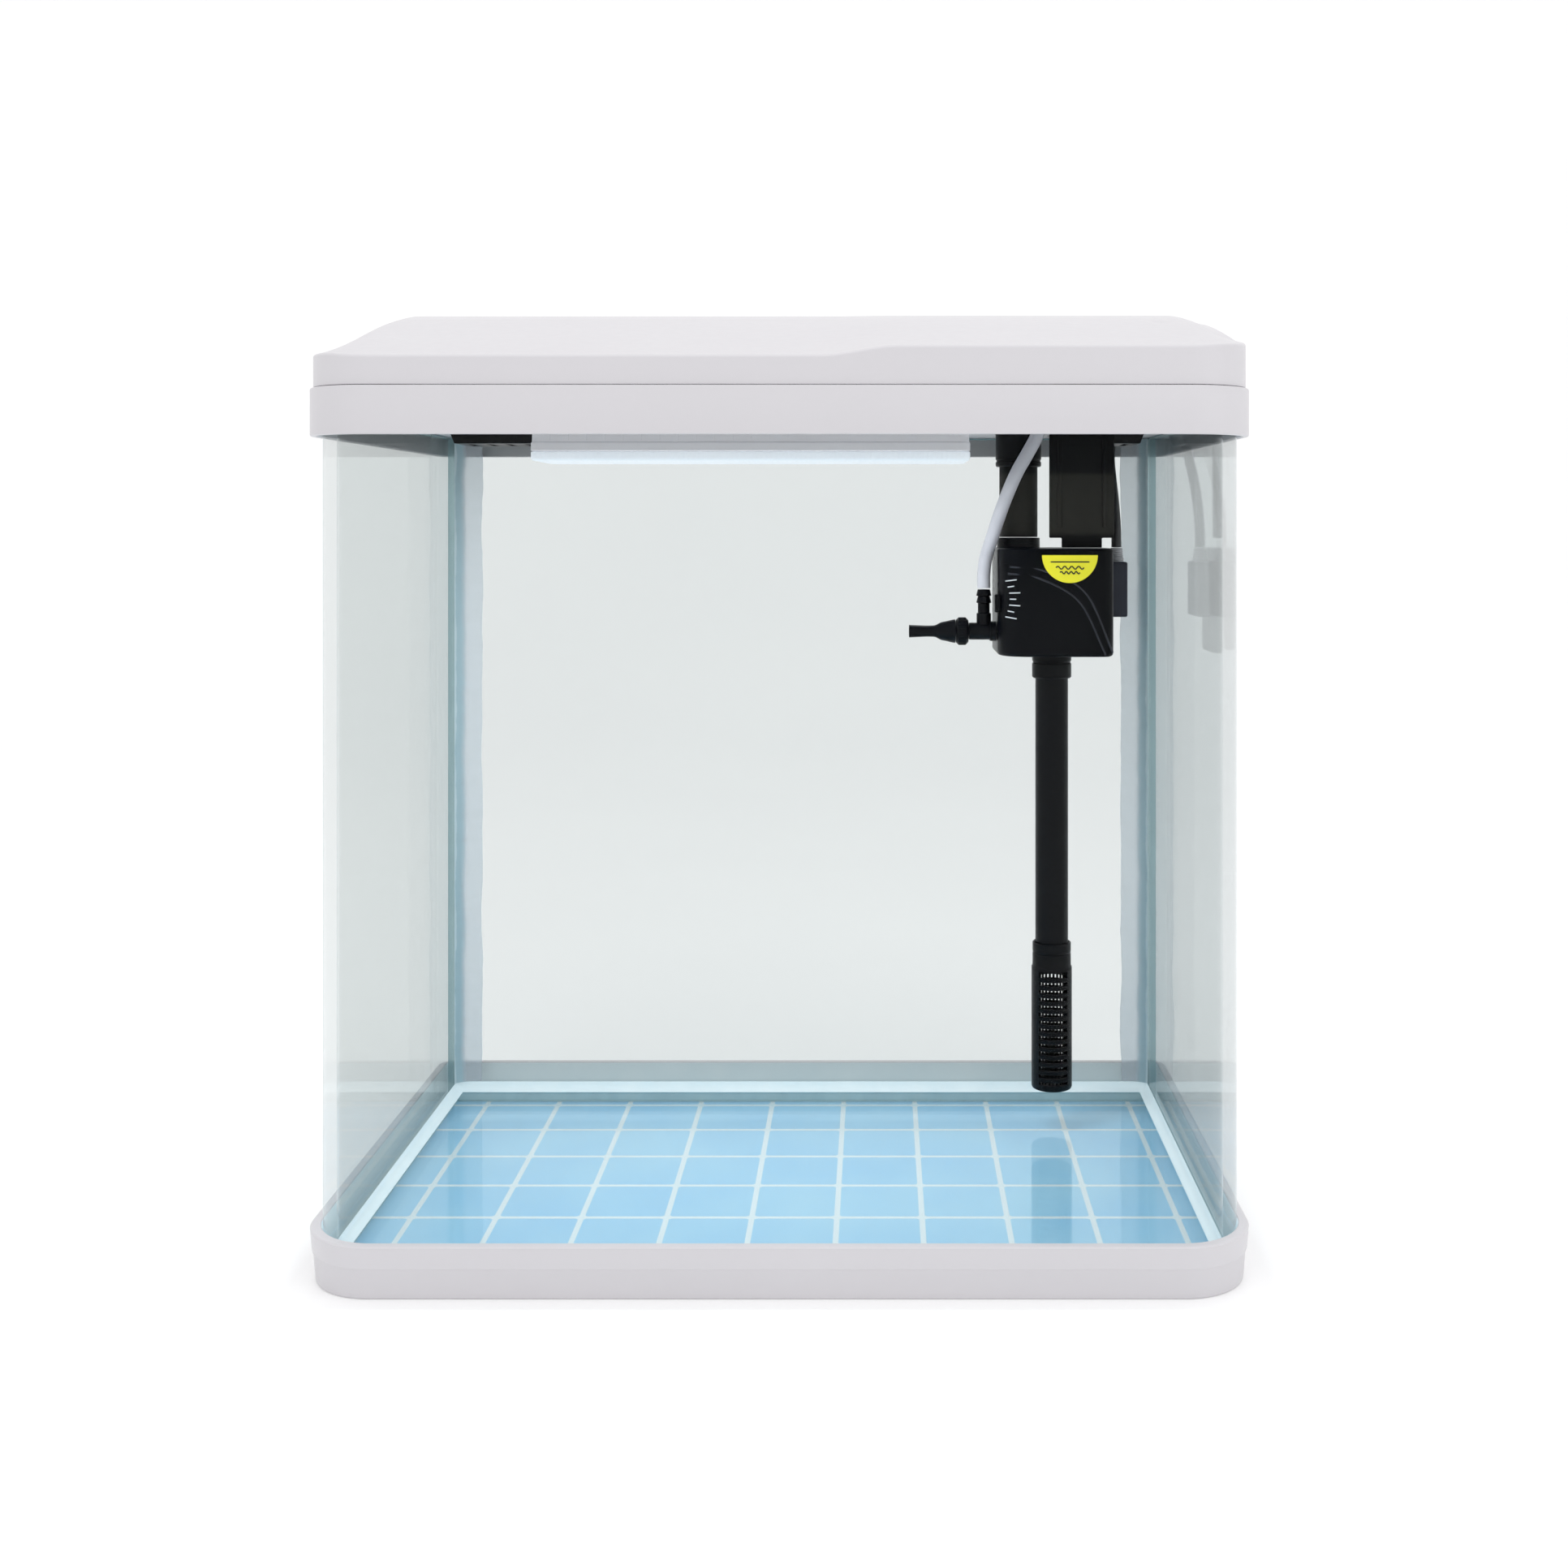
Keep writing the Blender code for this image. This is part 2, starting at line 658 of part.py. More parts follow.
def crown_body(name, inset, front, rear, bottom):
    """A closed body under the crown, moved in from the cover's sides and top by the inset."""
    half = COVER_WIDTH / 2 - inset
    low, high = COVER_FRONT + inset, COVER_REAR - inset
    front_bend = CORNER_RADIUS - COVER_INSET - inset
    rear_bend = REAR_RADIUS - COVER_INSET - inset
    turns = [1 - math.cos(math.pi / 2 * step / CORNER_STEPS) for step in range(CORNER_STEPS + 1)]
    rows = {front, rear}
    rows.update(
        low + front_bend * turn_by for turn_by in turns if front <= low + front_bend * turn_by <= rear
    )
    rows.update(
        high - rear_bend * turn_by for turn_by in turns if front <= high - rear_bend * turn_by <= rear
    )
    start, end = max(front, low + front_bend), min(rear, high - rear_bend)
    steps = max(1, round((end - start) / CROWN_STEP))
    rows.update(start + (end - start) * step / steps for step in range(1, steps))
    edges = [SHOULDER * 0.3 * step for step in range(4)]
    middle = 22

    def half_width(y):
        for reach, bend in ((y - low, front_bend), (high - y, rear_bend)):
            if reach < bend:
                return half - bend + math.sqrt(max(bend**2 - (bend - reach) ** 2, 0.0))
        return half

    bm = bmesh.new()
    grid = []
    for y in sorted(rows):
        wide = half_width(y)
        inner = wide - SHOULDER - CROWN_EDGE
        line = [-(wide - edge) for edge in edges]
        line += [inner * (2 * step / middle - 1) for step in range(middle + 1)]
        line += [wide - edge for edge in reversed(edges)]
        grid.append([bm.verts.new((x, y, crown(x, y) - inset)) for x in line])
    for near, far in zip(grid, grid[1:]):
        for i in range(len(near) - 1):
            bm.faces.new((near[i], near[i + 1], far[i + 1], far[i]))
    rim = grid[0] + [line[-1] for line in grid[1:-1]] + grid[-1][::-1] + [line[0] for line in grid[-2:0:-1]]
    foot = [bm.verts.new((vert.co.x, vert.co.y, bottom)) for vert in rim]
    for i in range(len(rim)):
        j = (i + 1) % len(rim)
        bm.faces.new((rim[j], rim[i], foot[i], foot[j]))
    bm.faces.new(foot)
    return mesh_object(name, bm)


def make_hood_frame():
    corners = (CORNER_RADIUS, CORNER_RADIUS, REAR_RADIUS, REAR_RADIUS)
    frame = plate("hood_frame", rounded(WIDTH, DEPTH, corners), SKIRT_BOTTOM, RIM_TOP)
    inside = rounded(WIDTH, DEPTH, corners, HOOD_WALL)
    length, depth = FEED_OPENING
    low = (-length / 2, FEED_OPENING_Y - depth / 2, DECK_BOTTOM - PAST)
    high = (length / 2, FEED_OPENING_Y + depth / 2, DECK_TOP + PAST)
    tools = [
        plate("skirt_pocket", inside, SKIRT_BOTTOM - PAST, DECK_BOTTOM),
        plate("hood_pocket", inside, DECK_TOP, RIM_TOP + PAST),
        box("feed_opening", low, high),
    ]
    holes = [
        ("sleeve_hole", RISER_X, RISER_Y, SLEEVE_RADIUS + HOLE_SLIP),
        ("hose_hole", VALVE_X, VALVE_Y, HOSE_RADIUS + HOSE_CLEARANCE),
        ("pump_lead_hole", LEAD_HOLE_X, LEAD_HOLE_Y, LEAD_RADIUS + LEAD_CLEARANCE),
        ("lamp_lead_hole", LAMP_LEAD_X, LAMP_LEAD_Y, LAMP_LEAD_RADIUS + LEAD_CLEARANCE),
        ("screw_hole_left", LAMP_X - LAMP_SCREW_SPAN / 2, LAMP_Y, SCREW_RADIUS + GAP),
        ("screw_hole_right", LAMP_X + LAMP_SCREW_SPAN / 2, LAMP_Y, SCREW_RADIUS + GAP),
    ]
    for name, x, y, radius in holes:
        tools.append(rod(name, radius, (x, y, DECK_BOTTOM - PAST), DECK + 2 * PAST, sides=SMALL_SIDES))
    for side, (left, right) in well_spans().items():
        low = (left - SLIP, WELL_FRONT - SLIP, DECK_BOTTOM - PAST)
        high = (right + SLIP, WELL_REAR + SLIP, DECK_TOP + PAST)
        tools.append(box("well_hole_" + side, low, high))
    return finish(cut(frame, *tools), WHITE_PLASTIC, 0.42)


def pin_bore(name, side):
    start = side * (BARREL_LENGTH / 2 - PIN_GRIP - GAP)
    length = PIN_GRIP + LUG + 2 * PAST
    first = start if side > 0 else start - length
    return rod(name, PIN_RADIUS + GAP, (first, HINGE_Y, HINGE_Z), length, "X", SMALL_SIDES)


def make_flap():
    flap = crown_body("flap_cover", 0.0, COVER_FRONT, HINGE_Y, COVER_BOTTOM)
    hollow = crown_body(
        "flap_hollow", COVER_WALL, COVER_FRONT + COVER_WALL, HINGE_Y + WELL_PAST, COVER_BOTTOM - WELL_PAST
    )
    barrel = rod("flap_barrel", BARREL_RADIUS, (-BARREL_LENGTH / 2, HINGE_Y, HINGE_Z), BARREL_LENGTH, "X")
    join(cut(flap, hollow), barrel)
    cut(flap, pin_bore("flap_bore_left", -1), pin_bore("flap_bore_right", 1))
    return finish(flap, WHITE_PLASTIC, 0.42)


def lug(name, side):
    """An arm from the rear wall that carries a hinge pin."""
    head = LUG_HEAD
    steps = SMALL_SIDES // 2
    turns = [math.pi * i / steps for i in range(steps + 1)]
    arc = [(-head * math.cos(angle), head * math.sin(angle)) for angle in turns]
    rear = COVER_REAR - COVER_WALL + GAP - HINGE_Y
    shape = arc + [(head, -GAP), (rear, -GAP), (rear, -LUG_HEIGHT), (head, -LUG_HEIGHT), (-head, -head)]
    outline = [(HINGE_Y + y, HINGE_Z + z) for y, z in shape]
    near = BARREL_LENGTH / 2 + GAP
    left = near if side > 0 else -near - LUG
    return plate(name, outline, left, left + LUG, "X")


def make_rear_cover():
    front = HINGE_Y + BARREL_GAP
    cover = crown_body("rear_cover", 0.0, front, COVER_REAR, COVER_BOTTOM)
    hollow = crown_body(
        "rear_hollow", COVER_WALL, HINGE_Y - 2 * WELL_PAST, COVER_REAR - COVER_WALL, COVER_BOTTOM - WELL_PAST
    )
    sweep = rod("flap_sweep", SWEEP_RADIUS, (-WIDTH / 2, HINGE_Y, HINGE_Z), WIDTH, "X")
    behind = HINGE_Y + SWEEP_RADIUS
    path = box("flap_path", (-WIDTH / 2, HINGE_Y - PAST, HINGE_Z), (WIDTH / 2, behind, HOOD_CREST + PAST))
    cut(cover, hollow, sweep, path)
    join(cover, lug("lug_left", -1), lug("lug_right", 1))
    gland_hole = rod(
        "gland_hole", GLAND_RADIUS + GAP, (GLAND_X, COVER_REAR - 0.006, GLAND_Z), 0.012, "Y", SMALL_SIDES
    )
    cut(cover, pin_bore("lug_bore_left", -1), pin_bore("lug_bore_right", 1), gland_hole)
    return finish(cover, WHITE_PLASTIC, 0.42)


def make_pins():
    length = PIN_GRIP + LUG + GAP
    for side, name in ((-1, "hinge_pin_left"), (1, "hinge_pin_right")):
        start = side * (BARREL_LENGTH / 2 - PIN_GRIP)
        first = start if side > 0 else start - length
        pin = rod(name, PIN_RADIUS, (first, HINGE_Y, HINGE_Z), length, "X", SMALL_SIDES)
        finish(pin, (0.60, 0.60, 0.62), 0.30, 1.0)


# Lamp

def make_lamp():
    roof = DECK_BOTTOM - GAP
    corners = (LAMP_CORNER,) * 4
    centre = (LAMP_X, LAMP_Y)
    outer = rounded(LAMP_LENGTH, LAMP_DEPTH, corners, 0, centre, 4)
    housing = plate("lamp_housing", outer, LAMP_BOTTOM, roof)
    cavity = rounded(LAMP_LENGTH, LAMP_DEPTH, corners, LAMP_WALL, centre, 4)
    tools = [plate("lamp_cavity", cavity, LAMP_BOTTOM - PAST, roof - LAMP_WALL)]
    lead_radius = LAMP_LEAD_RADIUS + LEAD_CLEARANCE
    start = (LAMP_LEAD_X, LAMP_LEAD_Y, roof - HOLE_START)
    tools.append(rod("lamp_lead_port", lead_radius, start, HOLE_DEPTH, sides=SMALL_SIDES))
    for side, name in ((-1, "lamp_screw_left"), (1, "lamp_screw_right")):
        x = LAMP_X + side * LAMP_SCREW_SPAN / 2
        start = (x, LAMP_Y, roof - HOLE_START)
        tools.append(rod(name + "_hole", SCREW_RADIUS + GAP, start, HOLE_DEPTH, sides=SMALL_SIDES))
        seat = DECK_TOP + GAP
        foot = roof - LAMP_WALL + GAP
        head = SCREW_HEAD_RADIUS
        profile = [(0, seat + SCREW_HEAD), (head * 0.7, seat + SCREW_HEAD * 0.9)]
        profile += [(head, seat + SCREW_HEAD * 0.4), (head, seat)]
        profile += [(SCREW_RADIUS, seat), (SCREW_RADIUS, foot), (0, foot)]
        finish(turned(name, profile, (x, LAMP_Y, 0), sides=SMALL_SIDES), (0.60, 0.60, 0.62), 0.30, 1.0)
    finish(cut(housing, *tools), (0.62, 0.61, 0.63), 0.45)

    diffuser = plate("lamp_diffuser", outer, DIFFUSER_BOTTOM, LAMP_BOTTOM - GAP)
    hollow = rounded(LAMP_LENGTH, LAMP_DEPTH, corners, DIFFUSER_WALL, centre, 4)
    hollow = plate("diffuser_hollow", hollow, DIFFUSER_BOTTOM + DIFFUSER_WALL, LAMP_BOTTOM + PAST)
    finish(cut(diffuser, hollow), (0.80, 0.86, 0.92), 0.25)

    board = rounded(LAMP_LENGTH, LAMP_DEPTH, corners, LAMP_WALL + SLIP, centre, 4)
    top = roof - LAMP_WALL - GAP
    pcb = plate("led_board", board, top - LED_BOARD, top)
    pass_radius = LAMP_LEAD_RADIUS + GAP
    start = (LAMP_LEAD_X, LAMP_LEAD_Y, top - HOLE_START)
    hole = rod("board_lead_hole", pass_radius, start, HOLE_DEPTH, sides=SMALL_SIDES)
    finish(cut(pcb, hole), (0.85, 0.85, 0.82), 0.40)


# Filter tray

def well_spans():
    outer = TRAY_LENGTH / 2 - TRAY_WALL * 2
    inner = max(outer - WELL_LENGTH, RIGHT_STEP + WELL_FROM_STEP)
    return {"left": (-outer, -outer + WELL_LENGTH), "right": (inner, outer)}


def well(name, span, inset, bottom, top):
    left, right = span[0] + inset, span[1] - inset
    front, rear = WELL_FRONT + inset, WELL_REAR - inset
    high = [(left, front), (right, front), (right, rear), (left, rear)]
    inner_left, inner_right = left + WELL_SLOPE, right - WELL_SLOPE
    low = [(inner_left, front), (inner_right, front), (inner_right, rear), (inner_left, rear)]
    return loft(name, [(bottom, low), (top, high)])


def trough(name, inset, top):
    """The tray's stepped side view, pulled from its front to its rear."""
    half = TRAY_LENGTH / 2 - inset
    left, right = TRAY_END - TRAY_LENGTH / 2 - inset, RIGHT_STEP + inset
    low, mid = TRAY_BOTTOM + inset, CHANNEL_BOTTOM + inset
    outline = [
        (-half, low),
        (left, low),
        (left, mid),
        (right, mid),
        (right, low),
        (half, low),
        (half, top),
        (-half, top),
    ]
    return plate(name, outline, TRAY_FRONT + inset, TRAY_REAR - inset, "Y")


def make_filter():
    tray = trough("filter_tray", 0.0, TRAY_TOP)
    tools = [trough("tray_hollow", TRAY_WALL, TRAY_TOP + PAST)]
    for side, span in well_spans().items():
        join(tray, well("well_" + side, span, 0.0, WELL_BOTTOM, TRAY_BOTTOM + TRAY_WALL / 2))
        tools.append(
            well("well_hollow_" + side, span, TRAY_WALL, WELL_BOTTOM + TRAY_WALL, TRAY_BOTTOM + TRAY_WALL * 2)
        )
        tools.append(boxes("well_slots_" + side, slot_spans(span, WELL_SLOT_PITCH, WELL_SLOT, WELL_BOTTOM)))
    hole = SLEEVE_RADIUS + HOLE_SLIP
    tools.append(
        rod("tray_sleeve_hole", hole, (RISER_X, RISER_Y, CHANNEL_BOTTOM - PAST), TRAY_WALL + 2 * PAST)
    )
    finish(cut(tray, *tools), BLACK_PLASTIC, 0.45)

    left = -TRAY_LENGTH / 2 + TRAY_WALL + SLIP
    right = RISER_X - SLEEVE_FLANGE - GRILLE_TO_SLEEVE
    front, rear = TRAY_FRONT + TRAY_WALL + SLIP, TRAY_REAR - TRAY_WALL - SLIP
    low = CHANNEL_FLOOR + GAP
    grille = box("tray_grille", (left, front, low), (right, rear, low + GRILLE))
    cut(grille, boxes("grille_slots", slot_spans((left, right), GRILLE_SLOT_PITCH, GRILLE_SLOT, low)))
    finish(grille, BLACK_PLASTIC, 0.45)
    low += GRILLE + GAP
    finish(box("filter_sponge", (left, front, low), (right, rear, low + SPONGE)), (0.02, 0.03, 0.05), 0.9)


def slot_spans(span, pitch, size, bottom):
    """Slots across the tray, evenly along a span of X and no closer than a pitch."""
    width, length = size
    middle = (WELL_FRONT + WELL_REAR) / 2
    reach = max(span[1] - span[0] - 2 * SLOT_MARGIN, 0.0)
    steps = int(reach / pitch)
    spans = []
    for i in range(steps + 1):
        along = i / steps if steps else 0.5
        x = (span[0] + span[1]) / 2 + reach * (along - 0.5)
        low = (x - width / 2, middle - length / 2, bottom - PAST)
        spans.append((low, (x + width / 2, middle + length / 2, bottom + TRAY_WALL + PAST)))
    return spans


# Pump

def pump_block(name, bottom, top):
    radii = (PUMP_LEFT_RADIUS, PUMP_RIGHT_RADIUS, PUMP_REAR_RADIUS, PUMP_REAR_RADIUS)
    centre = ((PUMP_LEFT + PUMP_RIGHT) / 2, (PUMP_FRONT + PUMP_REAR) / 2)
    outline = rounded(PUMP_RIGHT - PUMP_LEFT, PUMP_REAR - PUMP_FRONT, radii, 0, centre, 6)
    return plate(name, outline, bottom, top)


def make_pump_casing():
    housing = pump_block("pump_housing", PUMP_BOTTOM, PUMP_TOP)
    join(
        housing, rod("riser_socket", SOCKET_RADIUS, (RISER_X, RISER_Y, PUMP_TOP - PAST), SOCKET_HEIGHT + PAST)
    )
    rotor = (ROTOR_Y, ROTOR_Z)
    pocket = MOTOR_HALF + GAP
    duct_low, duct_high = PUMP_BOTTOM + DUCT_RISE, ROTOR_Z - pocket - PUMP_WALL
    duct_front, duct_rear = ROTOR_Y - DUCT_FRONT, ROTOR_Y + DUCT_REAR
    front_side = PUMP_SPLIT + GAP
    bush_depth = BUSH_LENGTH - ROTOR_CLEARANCE + GAP
    duct_left = CHAMBER_LEFT + DUCT_START
    up_to = duct_left + DUCT_WIDTH
    chamber_right = CHAMBER_LEFT + CHAMBER_LENGTH
    way = MOTOR_LEFT - chamber_right + 2 * PAST
    up_length = ROTOR_Z - OUTLET_Z - CHAMBER_RADIUS / 2
    tools = [
        box("housing_split", (0, 0, 0), (WIDTH, front_side, HOOD_CREST)),
        rod("chamber", CHAMBER_RADIUS, (CHAMBER_LEFT, *rotor), CHAMBER_LENGTH, "X"),
        rod("rotor_way", MAGNET_RADIUS + ROTOR_CLEARANCE, (chamber_right - PAST, *rotor), way, "X"),
        box(
            "motor_pocket",
            (MOTOR_LEFT - GAP, ROTOR_Y - pocket, ROTOR_Z - pocket),
            (MOTOR_RIGHT, ROTOR_Y + pocket, ROTOR_Z + pocket),
        ),
        rod(
            "bush_pocket",
            BUSH_RADIUS + GAP,
            (CHAMBER_LEFT - bush_depth, *rotor),
            bush_depth + PAST,
            "X",
            SMALL_SIDES,
        ),
        rod(
            "riser_port",
            RISER_PORT,
            (RISER_X, RISER_Y, ROTOR_Z + RISER_PORT),
            CHAMBER_RADIUS * 2,
            sides=SMALL_SIDES,
        ),
        box("duct", (duct_left, duct_front, duct_low), (INTAKE_X + INTAKE_PORT, duct_rear, duct_high)),
        box(
            "duct_up",
            (duct_left, duct_front, duct_high - PAST),
            (up_to, duct_rear, ROTOR_Z - CHAMBER_RADIUS * 0.7),
        ),
        rod(
            "intake_port", INTAKE_PORT, (INTAKE_X, RISER_Y, PUMP_BOTTOM - PAST), PORT_DEPTH, sides=SMALL_SIDES
        ),
        rod("outlet_port", OUTLET_BORE, (PUMP_LEFT - PAST, OUTLET_Y, OUTLET_Z), PORT_DEPTH, "X", SMALL_SIDES),
        rod(
            "outlet_up",
            OUTLET_BORE,
            (CHAMBER_LEFT + OUTLET_BORE, OUTLET_Y, OUTLET_Z),
            up_length,
            sides=SMALL_SIDES,
        ),
    ]
    finish(cut(housing, *tools), BLACK_PLASTIC, 0.35)

    cover = pump_block("pump_front_cover", PUMP_BOTTOM, PUMP_TOP)
    low = (PUMP_LEFT + PUMP_WALL * 2, PUMP_FRONT + PUMP_WALL, PUMP_BOTTOM + PUMP_WALL)
    high = (PUMP_RIGHT - PUMP_WALL, PUMP_SPLIT + PAST, PUMP_TOP - PUMP_WALL)
    behind = box("cover_split", (0, PUMP_SPLIT, 0), (WIDTH, DEPTH, HOOD_CREST))
    finish(cut(cover, behind, box("cover_hollow", low, high)), BLACK_PLASTIC, 0.35)

    turns = [math.pi * (1 + i / SMALL_SIDES) for i in range(SMALL_SIDES + 1)]
    arc = [(math.cos(angle), math.sin(angle)) for angle in turns]
    outline = [(LABEL_X + LABEL_RADIUS * x, LABEL_TOP + LABEL_RADIUS * z) for x, z in arc]
    rear = PUMP_FRONT - GAP
    finish(plate("level_label", outline, rear - LABEL, rear, "Y"), (0.90, 0.80, 0.02), 0.45)


def make_motor():
    half = MOTOR_HALF
    block = box(
        "motor_block",
        (MOTOR_LEFT, ROTOR_Y - half, ROTOR_Z - half),
        (MOTOR_RIGHT, ROTOR_Y + half, ROTOR_Z + half),
    )
    inner = half - MOTOR_WALL
    low = (MOTOR_LEFT - PAST, ROTOR_Y - inner, ROTOR_Z - inner)
    high = (MOTOR_RIGHT - MOTOR_WALL, ROTOR_Y + inner, ROTOR_Z + inner)
    finish(cut(block, box("motor_hollow", low, high)), (0.035, 0.037, 0.055), 0.5)

    inner -= GAP
    right = MOTOR_RIGHT - MOTOR_WALL - GAP
    stator = box(
        "stator_core",
        (STATOR_LEFT, ROTOR_Y - inner, ROTOR_Z - inner),
        (right, ROTOR_Y + inner, ROTOR_Z + inner),
    )
    bore_end = MAGNET_RIGHT + ROTOR_CLEARANCE
    bore = rod(
        "stator_bore",
        MAGNET_RADIUS + ROTOR_CLEARANCE,
        (STATOR_LEFT - PAST, ROTOR_Y, ROTOR_Z),
        bore_end - STATOR_LEFT + PAST,
        "X",
    )
    seat = rod(
        "rear_bush_seat",
        BUSH_RADIUS + GAP,
        (bore_end - PAST, ROTOR_Y, ROTOR_Z),
        BUSH_LENGTH + BUSH_ROOM,
        "X",
        SMALL_SIDES,
    )
    finish(cut(stator, bore, seat), (0.35, 0.18, 0.08), 0.4, 0.6)

    rotor_bore = SHAFT_RADIUS + GAP
    axis = (0, ROTOR_Y, ROTOR_Z)
    magnet = ring(
        "rotor_magnet", MAGNET_RADIUS, rotor_bore, MAGNET_LEFT, MAGNET_RIGHT, axis, "X", SMALL_SIDES
    )
    finish(magnet, (0.05, 0.05, 0.055), 0.5, 0.3)
    front = CHAMBER_LEFT + CHAMBER_SLACK
    hub_left, hub_right = front + GAP, MAGNET_LEFT - GAP
    impeller = rod(
        "impeller", HUB_RADIUS, (hub_left, ROTOR_Y, ROTOR_Z), hub_right - hub_left, "X", SMALL_SIDES
    )
    for i in range(BLADES // 2):
        blade = box(
            "blade_" + str(i + 1),
            (hub_left + BLADE_SETBACK, -BLADE_RADIUS, -BLADE / 2),
            (hub_left + BLADE_SETBACK + BLADE_LENGTH, BLADE_RADIUS, BLADE / 2),
        )
        spin = Matrix.Rotation(math.tau * i / BLADES, 4, "X")
        blade.data.transform(Matrix.Translation((0, ROTOR_Y, ROTOR_Z)) @ spin)
        join(impeller, blade)
    way = rod(
        "impeller_bore",
        rotor_bore,
        (hub_left - PAST, ROTOR_Y, ROTOR_Z),
        hub_right - hub_left + BORE_PAST,
        "X",
        SMALL_SIDES,
    )
    finish(cut(impeller, way), (0.55, 0.56, 0.58), 0.4)

    rear = bore_end + GAP
    for name, left in (("front_bush", front - BUSH_LENGTH), ("rear_bush", rear)):
        bush = ring(name, BUSH_RADIUS, rotor_bore, left, left + BUSH_LENGTH, axis, "X", SMALL_SIDES)
        finish(bush, (0.03, 0.03, 0.03), 0.6)
    shaft_left, shaft_right = front - BUSH_LENGTH + GAP, rear + BUSH_LENGTH - GAP
    shaft = rod(
        "pump_shaft", SHAFT_RADIUS, (shaft_left, ROTOR_Y, ROTOR_Z), shaft_right - shaft_left, "X", SMALL_SIDES
    )
    finish(shaft, (0.85, 0.85, 0.82), 0.3)


# Riser, hanger and intake

def make_riser():
    bottom = PUMP_TOP + SOCKET_HEIGHT + GAP
    top = DECK_TOP + SLEEVE_ABOVE_DECK - RISER_BELOW_SLEEVE
    pipe = ring("riser_pipe", RISER_RADIUS, RISER_RADIUS - RISER_WALL, bottom, top, (RISER_X, RISER_Y, 0))
    finish(pipe, (0.022, 0.019, 0.016), 0.45)
    inner = RISER_RADIUS + GAP
    seat = CHANNEL_FLOOR + GAP
    head = DECK_TOP + SLEEVE_ABOVE_DECK
    profile = [
        (inner, head),
        (SLEEVE_RADIUS, head),
        (SLEEVE_RADIUS, seat + SLEEVE_FLANGE_HEIGHT),
        (SLEEVE_FLANGE, seat + SLEEVE_FLANGE_HEIGHT),
        (SLEEVE_FLANGE, seat),
        (SLEEVE_RADIUS, seat),
        (SLEEVE_RADIUS, SLEEVE_BOTTOM),
        (inner, SLEEVE_BOTTOM),
    ]
    finish(turned("riser_sleeve", profile, (RISER_X, RISER_Y, 0), closed=True), BLACK_PLASTIC, 0.45)

    plate_bottom = PUMP_TOP + HANGER_STEP
    neck_bottom = PUMP_TOP + GAP
    left, right = HANGER_NECK_X - HANGER_NECK / 2, HANGER_NECK_X + HANGER_NECK / 2
    top = DECK_BOTTOM - GAP
    outline = [
        (left, neck_bottom),
        (right, neck_bottom),
        (right, plate_bottom),
        (HANGER_RIGHT, plate_bottom),
        (HANGER_RIGHT, top),
        (HANGER_LEFT, top),
        (HANGER_LEFT, plate_bottom),
        (left, plate_bottom),
    ]
    finish(plate("hanger_plate", outline, HANGER_Y, HANGER_Y + HANGER, "Y"), (0.022, 0.019, 0.016), 0.5)


def make_intake():
    place = (INTAKE_X, RISER_Y, 0)
    socket = INTAKE_RADIUS + GAP
    top = PUMP_BOTTOM - GAP
    bottom = top - COLLAR_LENGTH
    profile = [
        (INTAKE_PORT, top),
        (COLLAR_RADIUS, top),
        (COLLAR_RADIUS, bottom),
        (socket, bottom),
        (socket, top - COLLAR_LIP),
        (INTAKE_PORT, top - COLLAR_LIP),
    ]
    finish(turned("intake_collar", profile, place, closed=True), BLACK_PLASTIC, 0.4)
    tube_top = top - COLLAR_LIP - GAP
    pipe = ring("intake_tube", INTAKE_RADIUS, INTAKE_RADIUS - INTAKE_WALL, TUBE_BOTTOM, tube_top, place)
    finish(pipe, BLACK_PLASTIC, 0.35)
    floor = STRAINER_BOTTOM + STRAINER_WALL
    profile = [
        (0, floor),
        (socket, floor),
        (socket, STRAINER_COLLAR_TOP),
        (STRAINER_COLLAR_RADIUS, STRAINER_COLLAR_TOP),
        (STRAINER_COLLAR_RADIUS, STRAINER_COLLAR_BOTTOM),
        (STRAINER_RADIUS, STRAINER_COLLAR_BOTTOM),
        (STRAINER_RADIUS, STRAINER_BOTTOM),
        (0, STRAINER_BOTTOM),
    ]
    strainer = turned("strainer", profile, place)
    pitch = (STRAINER_COLLAR_BOTTOM - STRAINER_BOTTOM) / (STRAINER_SLOTS + 1)
    half = STRAINER_SLOT_WIDTH / 2
    spans = []
    for i in range(STRAINER_SLOTS):
        low = STRAINER_BOTTOM + pitch * (i + 1) - STRAINER_SLOT / 2
        reach = STRAINER_RADIUS + PAST
        spans.append(
            ((INTAKE_X - half, RISER_Y - reach, low), (INTAKE_X + half, RISER_Y + reach, low + STRAINER_SLOT))
        )
    finish(cut(strainer, boxes("strainer_slots", spans)), BLACK_PLASTIC, 0.45)


# Outlet, hose and nozzle

